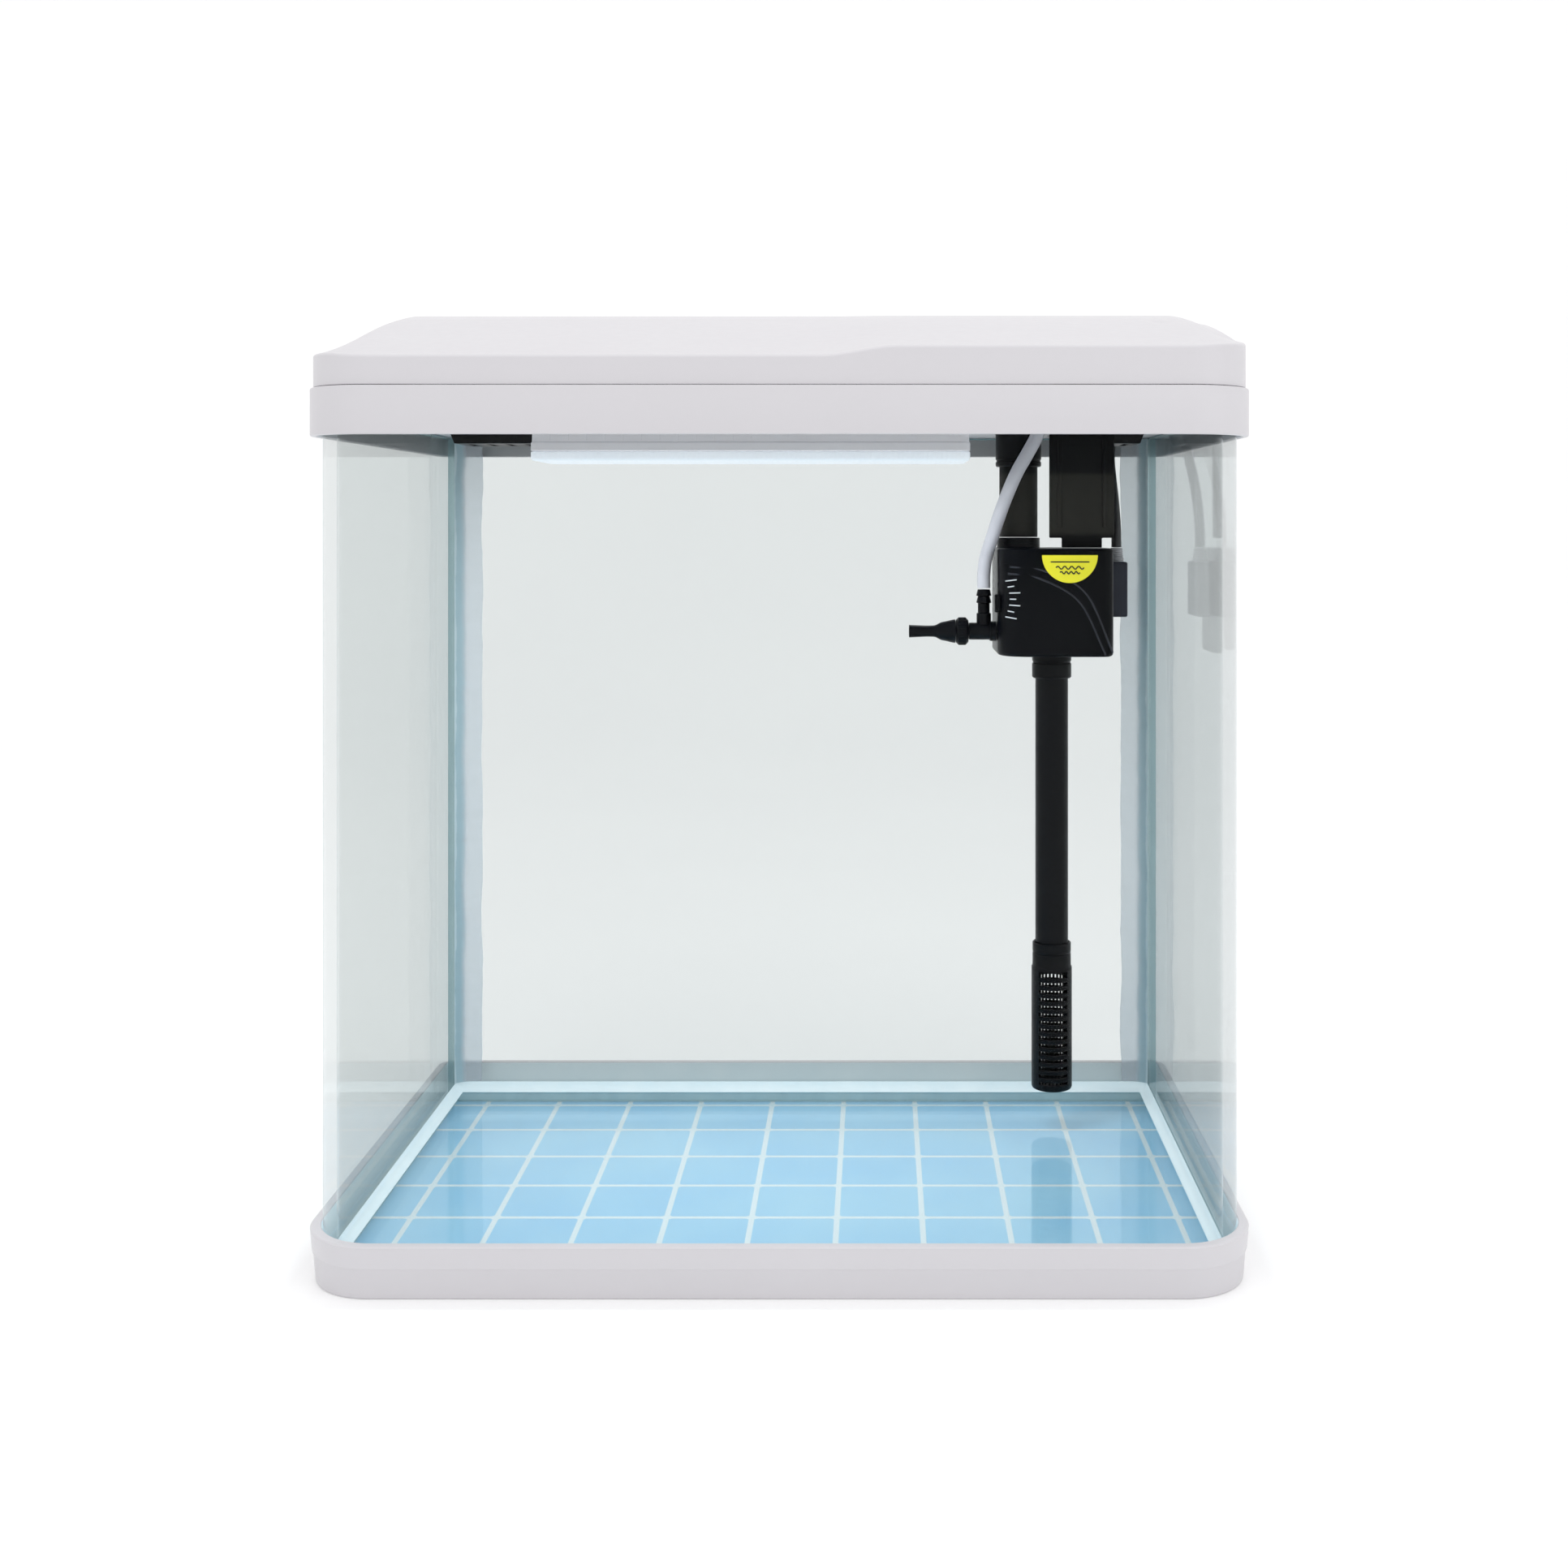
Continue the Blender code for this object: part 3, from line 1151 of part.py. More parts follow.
def make_outlet():
    right = PUMP_LEFT - GAP
    axis = (0, OUTLET_Y, OUTLET_Z)
    pipe = rod("outlet_pipe", OUTLET_RADIUS, (OUTLET_LEFT, *axis[1:]), right - OUTLET_LEFT, "X", SMALL_SIDES)
    foot = (BARB_X, OUTLET_Y, 0)
    profile = [
        (0, BARB_TOP),
        (BARB_RADIUS + BARB_LIP, BARB_TOP),
        (BARB_RADIUS + BARB_LIP, BARB_TOP - BARB_HEAD),
        (BARB_RADIUS - BARB_LIP, BARB_TOP - BARB_HEAD - BARB_LIP),
        (BARB_RADIUS - BARB_LIP, OUTLET_Z + BARB_HEAD * 3),
        (BARB_RADIUS + BARB_LIP, OUTLET_Z + BARB_HEAD),
        (BARB_RADIUS + BARB_LIP, OUTLET_Z),
        (0, OUTLET_Z),
    ]
    join(pipe, turned("barb", profile, foot, sides=SMALL_SIDES))
    bore = rod(
        "outlet_bore",
        OUTLET_BORE,
        (OUTLET_LEFT - PAST, *axis[1:]),
        right - OUTLET_LEFT + BORE_PAST,
        "X",
        SMALL_SIDES,
    )
    air = rod(
        "barb_bore",
        BARB_BORE,
        (BARB_X, OUTLET_Y, OUTLET_Z),
        BARB_TOP - OUTLET_Z + PAST,
        sides=SMALL_SIDES // 2,
    )
    finish(cut(pipe, bore, air), BLACK_PLASTIC, 0.4)

    nut_left, nut_right = OUTLET_LEFT - GAP - NUT_LENGTH, OUTLET_LEFT - GAP
    bend = NUT_ROUND
    profile = [
        (OUTLET_BORE, nut_right),
        (NUT_RADIUS - bend, nut_right),
        (NUT_RADIUS, nut_right - bend),
        (NUT_RADIUS, nut_left + bend),
        (NUT_RADIUS - bend, nut_left),
        (OUTLET_BORE, nut_left),
    ]
    finish(turned("nozzle_nut", profile, axis, "X", closed=True), BLACK_PLASTIC, 0.4)

    def oval(half_wide, half_high, square):
        """One section of the nozzle: a circle that flattens into a rounded slot."""
        count = 20
        points = []
        for i in range(count):
            angle = math.tau * i / count
            c, s = math.cos(angle), math.sin(angle)
            power = 2 / square
            x = math.copysign(abs(c) ** power, c) * half_wide
            y = math.copysign(abs(s) ** power, s) * half_high
            points.append((x, y))
        return points

    start = nut_left - GAP
    sections = [(0.0, 0.0054, 0.0054, 2), (0.006, 0.0040, 0.0042, 2), (0.0095, 0.0034, 0.0026, 2.2)]
    sections += [(0.013, 0.0040, 0.0025, 3), (NOZZLE_LENGTH, NOZZLE_TIP_WIDE, NOZZLE_TIP_HALF, 3.5)]
    aim = Matrix(((0, 0, -1, start), (1, 0, 0, OUTLET_Y), (0, 1, 0, OUTLET_Z), (0, 0, 0, 1)))
    outer = loft("jet_nozzle", [(s, oval(w, h, n)) for s, w, h, n in sections], aim)
    inner = [(s, oval(w - NOZZLE_WALL, h - NOZZLE_WALL, n)) for s, w, h, n in sections]
    inner[0] = (-PAST, inner[0][1])
    inner[-1] = (NOZZLE_LENGTH + PAST, inner[-1][1])
    finish(cut(outer, loft("nozzle_way", inner, aim)), BLACK_PLASTIC, 0.4)


def make_hose():
    floor = DECK_TOP + GAP
    top = floor + VALVE_HEIGHT
    bore = HOSE_RADIUS + HOSE_SLIP
    end = top - VALVE_FLANGE_HEIGHT
    wide = VALVE_RADIUS - VALVE_STEP
    profile = [
        (0, top),
        (VALVE_RADIUS * 0.7, top),
        (wide, top - VALVE_ROUND),
        (wide, floor + VALVE_FLANGE_HEIGHT),
        (VALVE_FLANGE, floor + VALVE_FLANGE_HEIGHT),
        (VALVE_FLANGE, floor),
        (bore, floor),
        (bore, end),
        (0, end),
    ]
    finish(turned("air_valve", profile, (VALVE_X, VALVE_Y, 0), sides=SMALL_SIDES), (0.75, 0.75, 0.76), 0.4)
    route = [
        (BARB_X, OUTLET_Y, BARB_TOP + 2 * GAP),
        (BARB_X, OUTLET_Y, BARB_TOP + 2 * GAP + HOSE_RADIUS * 2),
        (0.0857, 0.0567, 0.2645),
        (0.0886, 0.0530, 0.2745),
        (0.0928, 0.0484, 0.2880),
        (0.0985, 0.0460, 0.3020),
        (0.1037, 0.0444, 0.3115),
        (0.1076, 0.0438, 0.3190),
        (0.1096, 0.0435, 0.3260),
        (VALVE_X, VALVE_Y, end - GAP),
    ]
    finish(tube("air_hose", route, HOSE_RADIUS, 3), (0.78, 0.78, 0.80), 0.30)


# Leads

def make_leads():
    low = DECK_TOP + GAP
    high = low + BOX_HEIGHT
    case = box("junction_box", (BOX_LEFT, BOX_FRONT, low), (BOX_RIGHT, BOX_REAR, high))
    port_z = low + BOX_PORT_RISE
    middle = (BOX_FRONT + BOX_REAR) / 2
    inside_low = (BOX_LEFT + BOX_WALL, BOX_FRONT + BOX_WALL, low + BOX_WALL)
    inside_high = (BOX_RIGHT - BOX_WALL, BOX_REAR - BOX_WALL, high + PAST)
    tools = [box("box_hollow", inside_low, inside_high)]
    for name, side in (("pump_lead_port", BOX_RIGHT), ("mains_port", BOX_LEFT)):
        start = (side - PORT_START, middle, port_z)
        tools.append(rod(name, LEAD_RADIUS + GAP, start, PORT_DEPTH, "X", SMALL_SIDES))
    start = (LAMP_LEAD_X, BOX_FRONT - PORT_START, low + BOX_LAMP_PORT_RISE)
    tools.append(rod("lamp_port", LAMP_LEAD_RADIUS + GAP, start, PORT_DEPTH, "Y", SMALL_SIDES))
    finish(cut(case, *tools), (0.70, 0.70, 0.70), 0.5)
    lid = box("junction_lid", (BOX_LEFT, BOX_FRONT, high + GAP), (BOX_RIGHT, BOX_REAR, high + GAP + BOX_LID))
    finish(lid, (0.70, 0.70, 0.70), 0.5)

    top = ROTOR_Z + MOTOR_HALF + GAP
    grommet_top = top + GROMMET_HEIGHT
    profile = [
        (0, grommet_top), (LEAD_RADIUS + GROMMET_TIP, grommet_top), (GROMMET_RADIUS, top + GROMMET_COLLAR)
    ]
    profile += [(GROMMET_RADIUS, top), (0, top)]
    grommet = turned("lead_grommet", profile, (GROMMET_X, GROMMET_Y, 0), sides=SMALL_SIDES)
    finish(grommet, (0.45, 0.45, 0.47), 0.6)
    route = [
        (GROMMET_X, GROMMET_Y, grommet_top + GAP),
        (GROMMET_X, GROMMET_Y, grommet_top + GAP + LEAD_STRAIGHT),
        (GROMMET_X, GROMMET_Y + 0.0016, 0.2800),
        (0.1464, 0.0750, 0.2905),
        (0.1465, 0.0850, 0.3020),
        (0.1470, 0.0940, 0.3110),
        (LEAD_HOLE_X, LEAD_HOLE_Y - 0.0006, DECK_BOTTOM),
        (LEAD_HOLE_X - 0.0008, LEAD_HOLE_Y, 0.3320),
        (0.1405, 0.0985, 0.3440),
        (0.1280, 0.0985, 0.3500),
        (0.1050, 0.0985, 0.3490),
        (0.0700, 0.0985, 0.3420),
        (0.0350, 0.0985, 0.3355),
        (0.0120, 0.0985, port_z),
        (BOX_RIGHT - BOX_WALL - PAST, 0.0985, port_z),
    ]
    finish(tube("pump_lead", route, LEAD_RADIUS, 2), BLACK_PLASTIC, 0.5)
    x = LAMP_LEAD_X
    route = [
        (x, LAMP_LEAD_Y, DECK_BOTTOM - LAMP_WALL - PAST),
        (x, LAMP_LEAD_Y, DECK_TOP),
        (x, LAMP_LEAD_Y + 0.0015, 0.3330),
        (x, LAMP_LEAD_Y + 0.0080, 0.3395),
        (x, 0.0080, 0.3390),
        (x, 0.0200, 0.3330),
        (x, 0.0330, 0.3278),
        (x, 0.0470, low + 0.0030),
        (x, 0.0700, low + 0.0030),
        (x, 0.0850, low + 0.0032),
        (x, BOX_FRONT + BOX_WALL + PAST, low + BOX_LAMP_PORT_RISE),
    ]
    finish(tube("lamp_lead", route, LAMP_LEAD_RADIUS, 2), (0.80, 0.80, 0.80), 0.5)

    rear = COVER_REAR + GAP
    flange = GLAND_FLANGE_THICK
    profile = [
        (GLAND_BORE, flange),
        (GLAND_FLANGE, flange),
        (GLAND_FLANGE, 0),
        (GLAND_RADIUS, 0),
        (GLAND_RADIUS, -GLAND_LENGTH),
        (GLAND_BORE, -GLAND_LENGTH),
    ]
    gland = turned("cable_gland", profile, (GLAND_X, rear, GLAND_Z), "Y", SMALL_SIDES, closed=True)
    finish(gland, (0.03, 0.03, 0.03), 0.7)


def hang(name, place, nodes):
    """An empty on a joint's axis that carries the pieces which move on it."""
    axis = bpy.data.objects.new(name, None)
    AQUARIUM.objects.link(axis)
    axis.location = place
    bpy.context.view_layer.update()
    for node in nodes:
        obj = bpy.data.objects[node]
        held = obj.matrix_world.copy()
        obj.parent = axis
        obj.matrix_parent_inverse = axis.matrix_world.inverted()
        obj.matrix_world = held
    return axis


def main():
    make_base()
    make_tank()
    make_seams()
    make_hood_frame()
    make_flap()
    make_rear_cover()
    make_pins()
    make_lamp()
    make_filter()
    make_pump_casing()
    make_motor()
    make_riser()
    make_intake()
    make_outlet()
    make_hose()
    make_leads()
    bpy.context.view_layer.update()
    hang("flap_axis", (0, HINGE_Y, HINGE_Z), ["flap_cover"])
    hang("rotor_axis", (CHAMBER_LEFT, ROTOR_Y, ROTOR_Z), ["impeller", "rotor_magnet"])
    hang("nozzle_axis", (OUTLET_LEFT, OUTLET_Y, OUTLET_Z), ["nozzle_nut", "jet_nozzle"])


main()
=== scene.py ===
import math

import bmesh
import bpy
from mathutils import Matrix, Vector
from mathutils import noise as noises


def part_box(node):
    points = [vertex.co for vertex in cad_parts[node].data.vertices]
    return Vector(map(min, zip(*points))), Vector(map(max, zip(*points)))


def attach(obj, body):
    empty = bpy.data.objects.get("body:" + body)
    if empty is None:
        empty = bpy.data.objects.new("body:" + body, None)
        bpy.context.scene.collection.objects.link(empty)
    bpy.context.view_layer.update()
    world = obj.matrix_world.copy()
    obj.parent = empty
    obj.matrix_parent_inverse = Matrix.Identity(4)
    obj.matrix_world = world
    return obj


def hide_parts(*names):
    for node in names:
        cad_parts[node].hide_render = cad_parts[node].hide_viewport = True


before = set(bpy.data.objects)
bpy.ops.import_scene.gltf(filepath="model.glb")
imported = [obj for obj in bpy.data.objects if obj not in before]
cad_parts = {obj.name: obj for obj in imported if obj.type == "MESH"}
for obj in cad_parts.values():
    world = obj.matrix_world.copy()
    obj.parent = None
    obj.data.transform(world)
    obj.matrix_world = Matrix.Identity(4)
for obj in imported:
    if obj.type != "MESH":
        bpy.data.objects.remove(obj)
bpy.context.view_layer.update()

mm = 0.001
print("frame loaded")


# camera, light and floor

stage = {
    "cameraPlace": (0.0362, -0.745, 0.2796),
    "lens": 40.5,
    "shift": (-0.0593, -0.1656),
    "world": (1.0, 1.0, 1.0),
    "worldStrength": 1.0,
    "softboxes": [
        # name, place, aim, size, watts
        ("topSoftbox", (0.0, -0.15, 1.20), (0.0, 0.0, 0.2), 1.0, 2.4),
        ("keySoftbox", (0.55, -1.1, 0.95), (0.0, 0.0, 0.2), 0.7, 0.8),
        ("fillSoftbox", (0.95, -0.7, 0.45), (0.0, 0.0, 0.2), 0.6, 0.5),
    ],
    "floor": (3.0, 2.2, 0.9),
    "lampGlow": ((-0.015, -0.0125, 0.3045), (0.160, 0.032), 0.36),
}


def setStage():
    scene = bpy.context.scene
    scene.view_settings.view_transform = "Standard"
    camera = bpy.data.objects.new("camera", bpy.data.cameras.new("camera"))
    scene.collection.objects.link(camera)
    camera.location = stage["cameraPlace"]
    camera.rotation_euler = (math.radians(90), 0, 0)
    camera.data.lens = stage["lens"]
    camera.data.sensor_width = 36
    camera.data.shift_x, camera.data.shift_y = stage["shift"]
    camera.data.clip_start = 0.01
    scene.camera = camera

    world = bpy.data.worlds.new("studio")
    world.use_nodes = True
    world.node_tree.nodes["Background"].inputs[0].default_value = (*stage["world"], 1)
    world.node_tree.nodes["Background"].inputs[1].default_value = stage["worldStrength"]
    scene.world = world

    for name, place, aim, size, watts in stage["softboxes"]:
        light = bpy.data.lights.new(name, "AREA")
        light.shape = "SQUARE"
        light.size = size
        light.energy = watts
        lamp = bpy.data.objects.new(name, light)
        scene.collection.objects.link(lamp)
        lamp.location = place
        lamp.rotation_euler = (Vector(aim) - Vector(place)).to_track_quat("-Z", "Y").to_euler()


# node trees by Python expressions

class Wire:
    # one output socket that Python's operators work on
    def __init__(self, paint, socket):
        self.paint = paint
        self.socket = socket

    def sum(self, kind, first, second):
        return self.paint.node("ShaderNodeMath", {"operation": kind}, {0: first, 1: second})

    def __add__(self, other):
        return self.sum("ADD", self, other)

    def __sub__(self, other):
        return self.sum("SUBTRACT", self, other)

    def __rsub__(self, other):
        return self.sum("SUBTRACT", other, self)

    def __mul__(self, other):
        return self.sum("MULTIPLY", self, other)

    def __truediv__(self, other):
        return self.sum("DIVIDE", self, other)

    def __pow__(self, other):
        return self.sum("POWER", self, other)

    __radd__ = __add__
    __rmul__ = __mul__


class Paint:
    # a material and its tree
    def __init__(self, name):
        self.material = bpy.data.materials.new(name)
        self.material.use_nodes = True
        self.tree = self.material.node_tree
        self.tree.nodes.clear()
        self.out = self.tree.nodes.new("ShaderNodeOutputMaterial")

    def node(self, kind, settings=None, values=None, output=0):
        made = self.tree.nodes.new(kind)
        for key, value in (settings or {}).items():
            if key == "stops":
                ramp = made.color_ramp
                while len(ramp.elements) < len(value):
                    ramp.elements.new(0.5)
                for stop, (place, colour) in zip(ramp.elements, value):
                    stop.position = place
                    stop.color = (*colour, 1) if len(colour) == 3 else colour
            else:
                setattr(made, key, value)
        for key, value in (values or {}).items():
            socket = made.inputs[key]
            if isinstance(value, Wire):
                self.tree.links.new(value.socket, socket)
            else:
                socket.default_value = value
        return Wire(self, made.outputs[output])

    def place(self):
        return self.node("ShaderNodeTexCoord", output="Object")

    def axis(self, name):
        return self.node("ShaderNodeSeparateXYZ", values={0: self.place()}, output=name)

    def noise(self, scale, detail=3.0, rough=0.5, stretch=None):
        where = self.place()
        if stretch:
            where = self.node("ShaderNodeMapping", values={"Vector": where, "Scale": stretch})
        return self.node(
            "ShaderNodeTexNoise",
            values={"Vector": where, "Scale": scale, "Detail": detail, "Roughness": rough},
        )

    def span(self, value, low, high, toLow=0.0, toHigh=1.0, smooth=False):
        kind = "SMOOTHSTEP" if smooth else "LINEAR"
        ends = {0: value, 1: low, 2: high, 3: toLow, 4: toHigh}
        return self.node("ShaderNodeMapRange", {"interpolation_type": kind}, ends)

    def blend(self, factor, first, second):
        values = {0: factor, 6: first if isinstance(first, Wire) else (*first, 1)}
        values[7] = second if isinstance(second, Wire) else (*second, 1)
        return self.node("ShaderNodeMix", {"data_type": "RGBA"}, values, output=2)

    def bump(self, height, distance, strength=1.0):
        return self.node(
            "ShaderNodeBump", values={"Strength": strength, "Distance": distance, "Height": height}
        )

    def shader(self, **values):
        sockets = {key.replace("_", " "): value for key, value in values.items()}
        return self.node("ShaderNodeBsdfPrincipled", values=sockets)

    def mixed(self, factor, first, second):
        return self.node("ShaderNodeMixShader", values={0: factor, 1: first, 2: second})

    def finish(self, shader):
        self.tree.links.new(shader.socket, self.out.inputs["Surface"])
        return self.material


def mouldedPlastic(name, colour, rough, mottle=0.04, grain=0.00004, coat=0.0, grainScale=900, shine=0.5):
    # an injection moulding: faint flow marks, a fine grain and uneven gloss
    paint = Paint(name)
    flow = paint.noise(18, 2, 0.5, (1.0, 1.0, 0.5))
    speck = paint.noise(240, 4, 0.6)
    dark = tuple(channel * (1 - mottle) for channel in colour)
    light = tuple(min(channel * (1 + mottle), 1.0) for channel in colour)
    tone = paint.blend(flow * 0.7 + speck * 0.3, dark, light)
    gloss = paint.span(flow * 0.5 + speck * 0.5, 0.3, 0.7, rough - 0.06, rough + 0.07)
    skin = paint.bump(paint.noise(grainScale, 3, 0.6), grain, 0.6)
    values = {"Base_Color": tone, "Roughness": gloss, "Normal": skin, "Specular_IOR_Level": shine}
    if coat:
        values["Coat_Weight"] = coat
        values["Coat_Roughness"] = 0.12
    return paint.finish(paint.shader(**values))


paints = {}


def makeLampLight():
    # the lit lamp's own light on the tiles and the pump
    place, size, watts = stage["lampGlow"]
    light = bpy.data.lights.new("lampGlow", "AREA")
    light.shape = "RECTANGLE"
    light.size, light.size_y = size
    light.energy = watts
    light.color = (0.93, 0.97, 1.0)
    glow = bpy.data.objects.new("lampGlow", light)
    bpy.context.scene.collection.objects.link(glow)
    glow.location = place
    glow.visible_camera = False
    glow.visible_glossy = False
    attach(glow, "hood")


def makeFloor():
    # a pale sweep: flat under the object, then up behind it in one curve
    half, behind, bend = stage["floor"]
    line = [(-half, 0.0)]
    for turn in range(25):
        angle = math.pi / 2 * turn / 24
        line.append((behind - bend + bend * math.sin(angle), bend - bend * math.cos(angle)))
    line.append((behind, 2.6))
    bm = bmesh.new()
    rows = [[bm.verts.new((x, y, z)) for x in (-half, half)] for y, z in line]
    for near, far in zip(rows, rows[1:]):
        bm.faces.new((near[0], near[1], far[1], far[0]))
    floor = meshed("floor", bm, "paleFloor")


def makePlastics():
    paints["whiteShell"] = mouldedPlastic("whiteShell", (0.606, 0.592, 0.618), 0.36, 0.02, 0.00003)
    paints["lampShell"] = mouldedPlastic("lampShell", (0.84, 0.82, 0.85), 0.5, 0.04)
    paints["blackShell"] = mouldedPlastic(
        "blackShell", (0.0012, 0.0014, 0.0024), 0.34, 0.25, 0.00002, shine=0.14
    )
    paints["pumpShell"] = mouldedPlastic(
        "pumpShell", (0.0010, 0.0012, 0.0022), 0.30, 0.25, 0.000012, shine=0.10
    )
    paints["mouldLine"] = mouldedPlastic("mouldLine", (0.028, 0.030, 0.038), 0.30, 0.2, shine=0.3)
    paints["motorResin"] = mouldedPlastic(
        "motorResin", (0.020, 0.022, 0.034), 0.5, 0.2, 0.00006, 0, 500, 0.25
    )
    paints["greyRubber"] = mouldedPlastic("greyRubber", (0.36, 0.36, 0.38), 0.62, 0.06)
    paints["blackRubber"] = mouldedPlastic("blackRubber", (0.012, 0.012, 0.013), 0.6, 0.2)
    paints["boxShell"] = mouldedPlastic("boxShell", (0.62, 0.62, 0.63), 0.48, 0.03)
    paints["impellerShell"] = mouldedPlastic("impellerShell", (0.55, 0.56, 0.58), 0.35, 0.05)
    paints["ceramic"] = mouldedPlastic("ceramic", (0.82, 0.82, 0.78), 0.18, 0.02)
    paints["boardMask"] = mouldedPlastic("boardMask", (0.80, 0.80, 0.76), 0.4, 0.02)
    paints["valveShell"] = mouldedPlastic("valveShell", (0.66, 0.66, 0.68), 0.42, 0.03)


def makeSmokedPlastic():
    # painted light and shade: black above, where the hood's shadow falls; below the shade line a lit
    # brown-grey band, black again lower down inside the pump's socket
    paint = Paint("smokedPipe")
    speckle = paint.noise(220, 4, 0.65)
    edge = paint.axis("Z") + (paint.noise(90, 2, 0.5) - 0.5) * 0.0015
    belowShadeLine = paint.span(edge, smokeLook["shadeLine"][0], smokeLook["shadeLine"][1], 1.0, 0.0, smooth=True)
    foot = paint.span(edge, smokeLook["foot"][0], smokeLook["foot"][1], 0.0, 1.0, smooth=True)
    brown = paint.blend(speckle, smokeLook["brown"], smokeLook["paleBrown"])
    tone = paint.blend(belowShadeLine * foot, smokeLook["black"], brown)
    gloss = paint.span(speckle, 0.3, 0.7, 0.42, 0.6)
    skin = paint.bump(speckle, 0.00002, 0.5)
    paints["smokedPipe"] = paint.finish(
        paint.shader(Base_Color=tone, Roughness=gloss, Normal=skin, Specular_IOR_Level=0.15)
    )


# heights and colours of the pipe's painted shade line and painted lit band
smokeLook = {
    "shadeLine": (0.3010, 0.3040),
    "foot": (0.2735, 0.2765),
    "black": (0.0010, 0.0010, 0.0015),
    "brown": (0.012, 0.0115, 0.0095),
    "paleBrown": (0.028, 0.0265, 0.022),
}


def makeMetals():
    # drawn pins and screws, with fine lines along the draw
    paint = Paint("steelPins")
    lines = paint.noise(300, 3, 0.6, (0.05, 1.0, 1.0))
    gloss = paint.span(lines, 0.3, 0.7, 0.2, 0.38)
    tone = paint.blend(lines, (0.50, 0.50, 0.52), (0.66, 0.66, 0.68))
    skin = paint.bump(lines, 0.00002, 0.5)
    paints["steelPins"] = paint.finish(
        paint.shader(Base_Color=tone, Metallic=1.0, Roughness=gloss, Normal=skin)
    )

    paint = Paint("ferrite")
    grit = paint.noise(900, 4, 0.7)
    tone = paint.blend(grit, (0.03, 0.03, 0.032), (0.075, 0.075, 0.08))
    skin = paint.bump(grit, 0.00006, 0.8)
    paints["ferrite"] = paint.finish(paint.shader(Base_Color=tone, Metallic=0.35, Roughness=0.5, Normal=skin))

    # a stack of sheet laminations, seen edge on
    paint = Paint("laminations")
    sheet = paint.node(
        "ShaderNodeTexWave", {"bands_direction": "X"}, {"Vector": paint.place(), "Scale": 320.0}
    )
    tone = paint.blend(sheet, (0.10, 0.055, 0.03), (0.36, 0.24, 0.15))
    skin = paint.bump(sheet, 0.0001, 0.7)
    paints["laminations"] = paint.finish(
        paint.shader(Base_Color=tone, Metallic=0.6, Roughness=0.42, Normal=skin)
    )


glassLook = {
    "tint": (0.926, 0.936, 0.935),
    # the side walls' tints and reflections are painted shade: both reflect less than the front, and the right
    # wall also lets less light through
    "leftTint": (0.925, 0.940, 0.938),
    "rightShadedTint": (0.910, 0.925, 0.928),
    "floorTint": (0.96, 0.990, 0.998),
    "reflection": (0.90, 0.93, 0.94),
    "leftReflection": (0.60, 0.64, 0.64),
    "rightReflection": (0.48, 0.53, 0.54),
    "edgeTint": (0.50, 0.66, 0.68),
    "edgeBody": (0.36, 0.52, 0.55),
    "edgeOpacity": 0.72,
    "film": 0.0016,
}


def makeGlass():
    # panes: light goes straight through with a faint tint, and the gloss grows at a slant
    for name, tint, mirror in (
        ("paneGlass", "tint", "reflection"),
        # the side walls' copies carry painted shade: dimmer reflections, and on the right a darker tint
        ("leftGlass", "leftTint", "leftReflection"),
        ("rightGlass", "rightShadedTint", "rightReflection"),
    ):
        paint = Paint(name)
        slant = paint.node("ShaderNodeLayerWeight", values={"Blend": 0.5}, output="Facing")
        streak = paint.noise(9, 3, 0.55, (1.0, 1.0, 0.35))
        film = paint.span(streak, 0.35, 0.75, 0.0, glassLook["film"])
        factor = slant**5 * 0.92 + 0.0005 + film
        through = paint.node("ShaderNodeBsdfTransparent", values={"Color": (*glassLook[tint], 1)})
        ripple = paint.bump(paint.noise(26, 2, 0.4), 0.00002, 0.35)
        gloss = paint.shader(Base_Color=(*glassLook[mirror], 1), Metallic=1.0, Roughness=0.035, Normal=ripple)
        paints[name] = paint.finish(
            paint.mixed(factor, through, gloss)
        )

    paint = Paint("floorGlass")
    film = paint.span(paint.noise(11, 3, 0.55), 0.3, 0.75, 0.004, 0.02)
    slant = paint.node("ShaderNodeLayerWeight", values={"Blend": 0.5}, output="Facing")
    factor = slant**5 * 0.9 + film
    through = paint.node("ShaderNodeBsdfTransparent", values={"Color": (*glassLook["floorTint"], 1)})
    ripple = paint.bump(paint.noise(26, 2, 0.4), 0.00003, 0.4)
    gloss = paint.shader(
        Base_Color=(*glassLook["reflection"], 1), Metallic=1.0, Roughness=0.06, Normal=ripple
    )
    paints["floorGlass"] = paint.finish(
        paint.mixed(factor, through, gloss)
    )

    # ground edges, where the light comes out green-blue
    paint = Paint("glassEdge")
    grind = paint.noise(160, 3, 0.6, (1.0, 1.0, 0.15))
    tone = paint.blend(grind, glassLook["edgeBody"], (0.52, 0.68, 0.70))
    through = paint.node("ShaderNodeBsdfTransparent", values={"Color": (*glassLook["edgeTint"], 1)})
    skin = paint.bump(grind, 0.00005, 0.6)
    body = paint.shader(Base_Color=tone, Roughness=0.22, Normal=skin, IOR=1.5)
    mixed = paint.mixed(glassLook["edgeOpacity"], through, body)
    paints["glassEdge"] = paint.finish(mixed)


siliconeLook = {
    "core": (0.42, 0.55, 0.60),
    "cheek": (0.74, 0.76, 0.80),
    "clear": (0.80, 0.88, 0.90),
    "coreOpacity": 0.80,
    "cheekOpacity": 0.36,
}


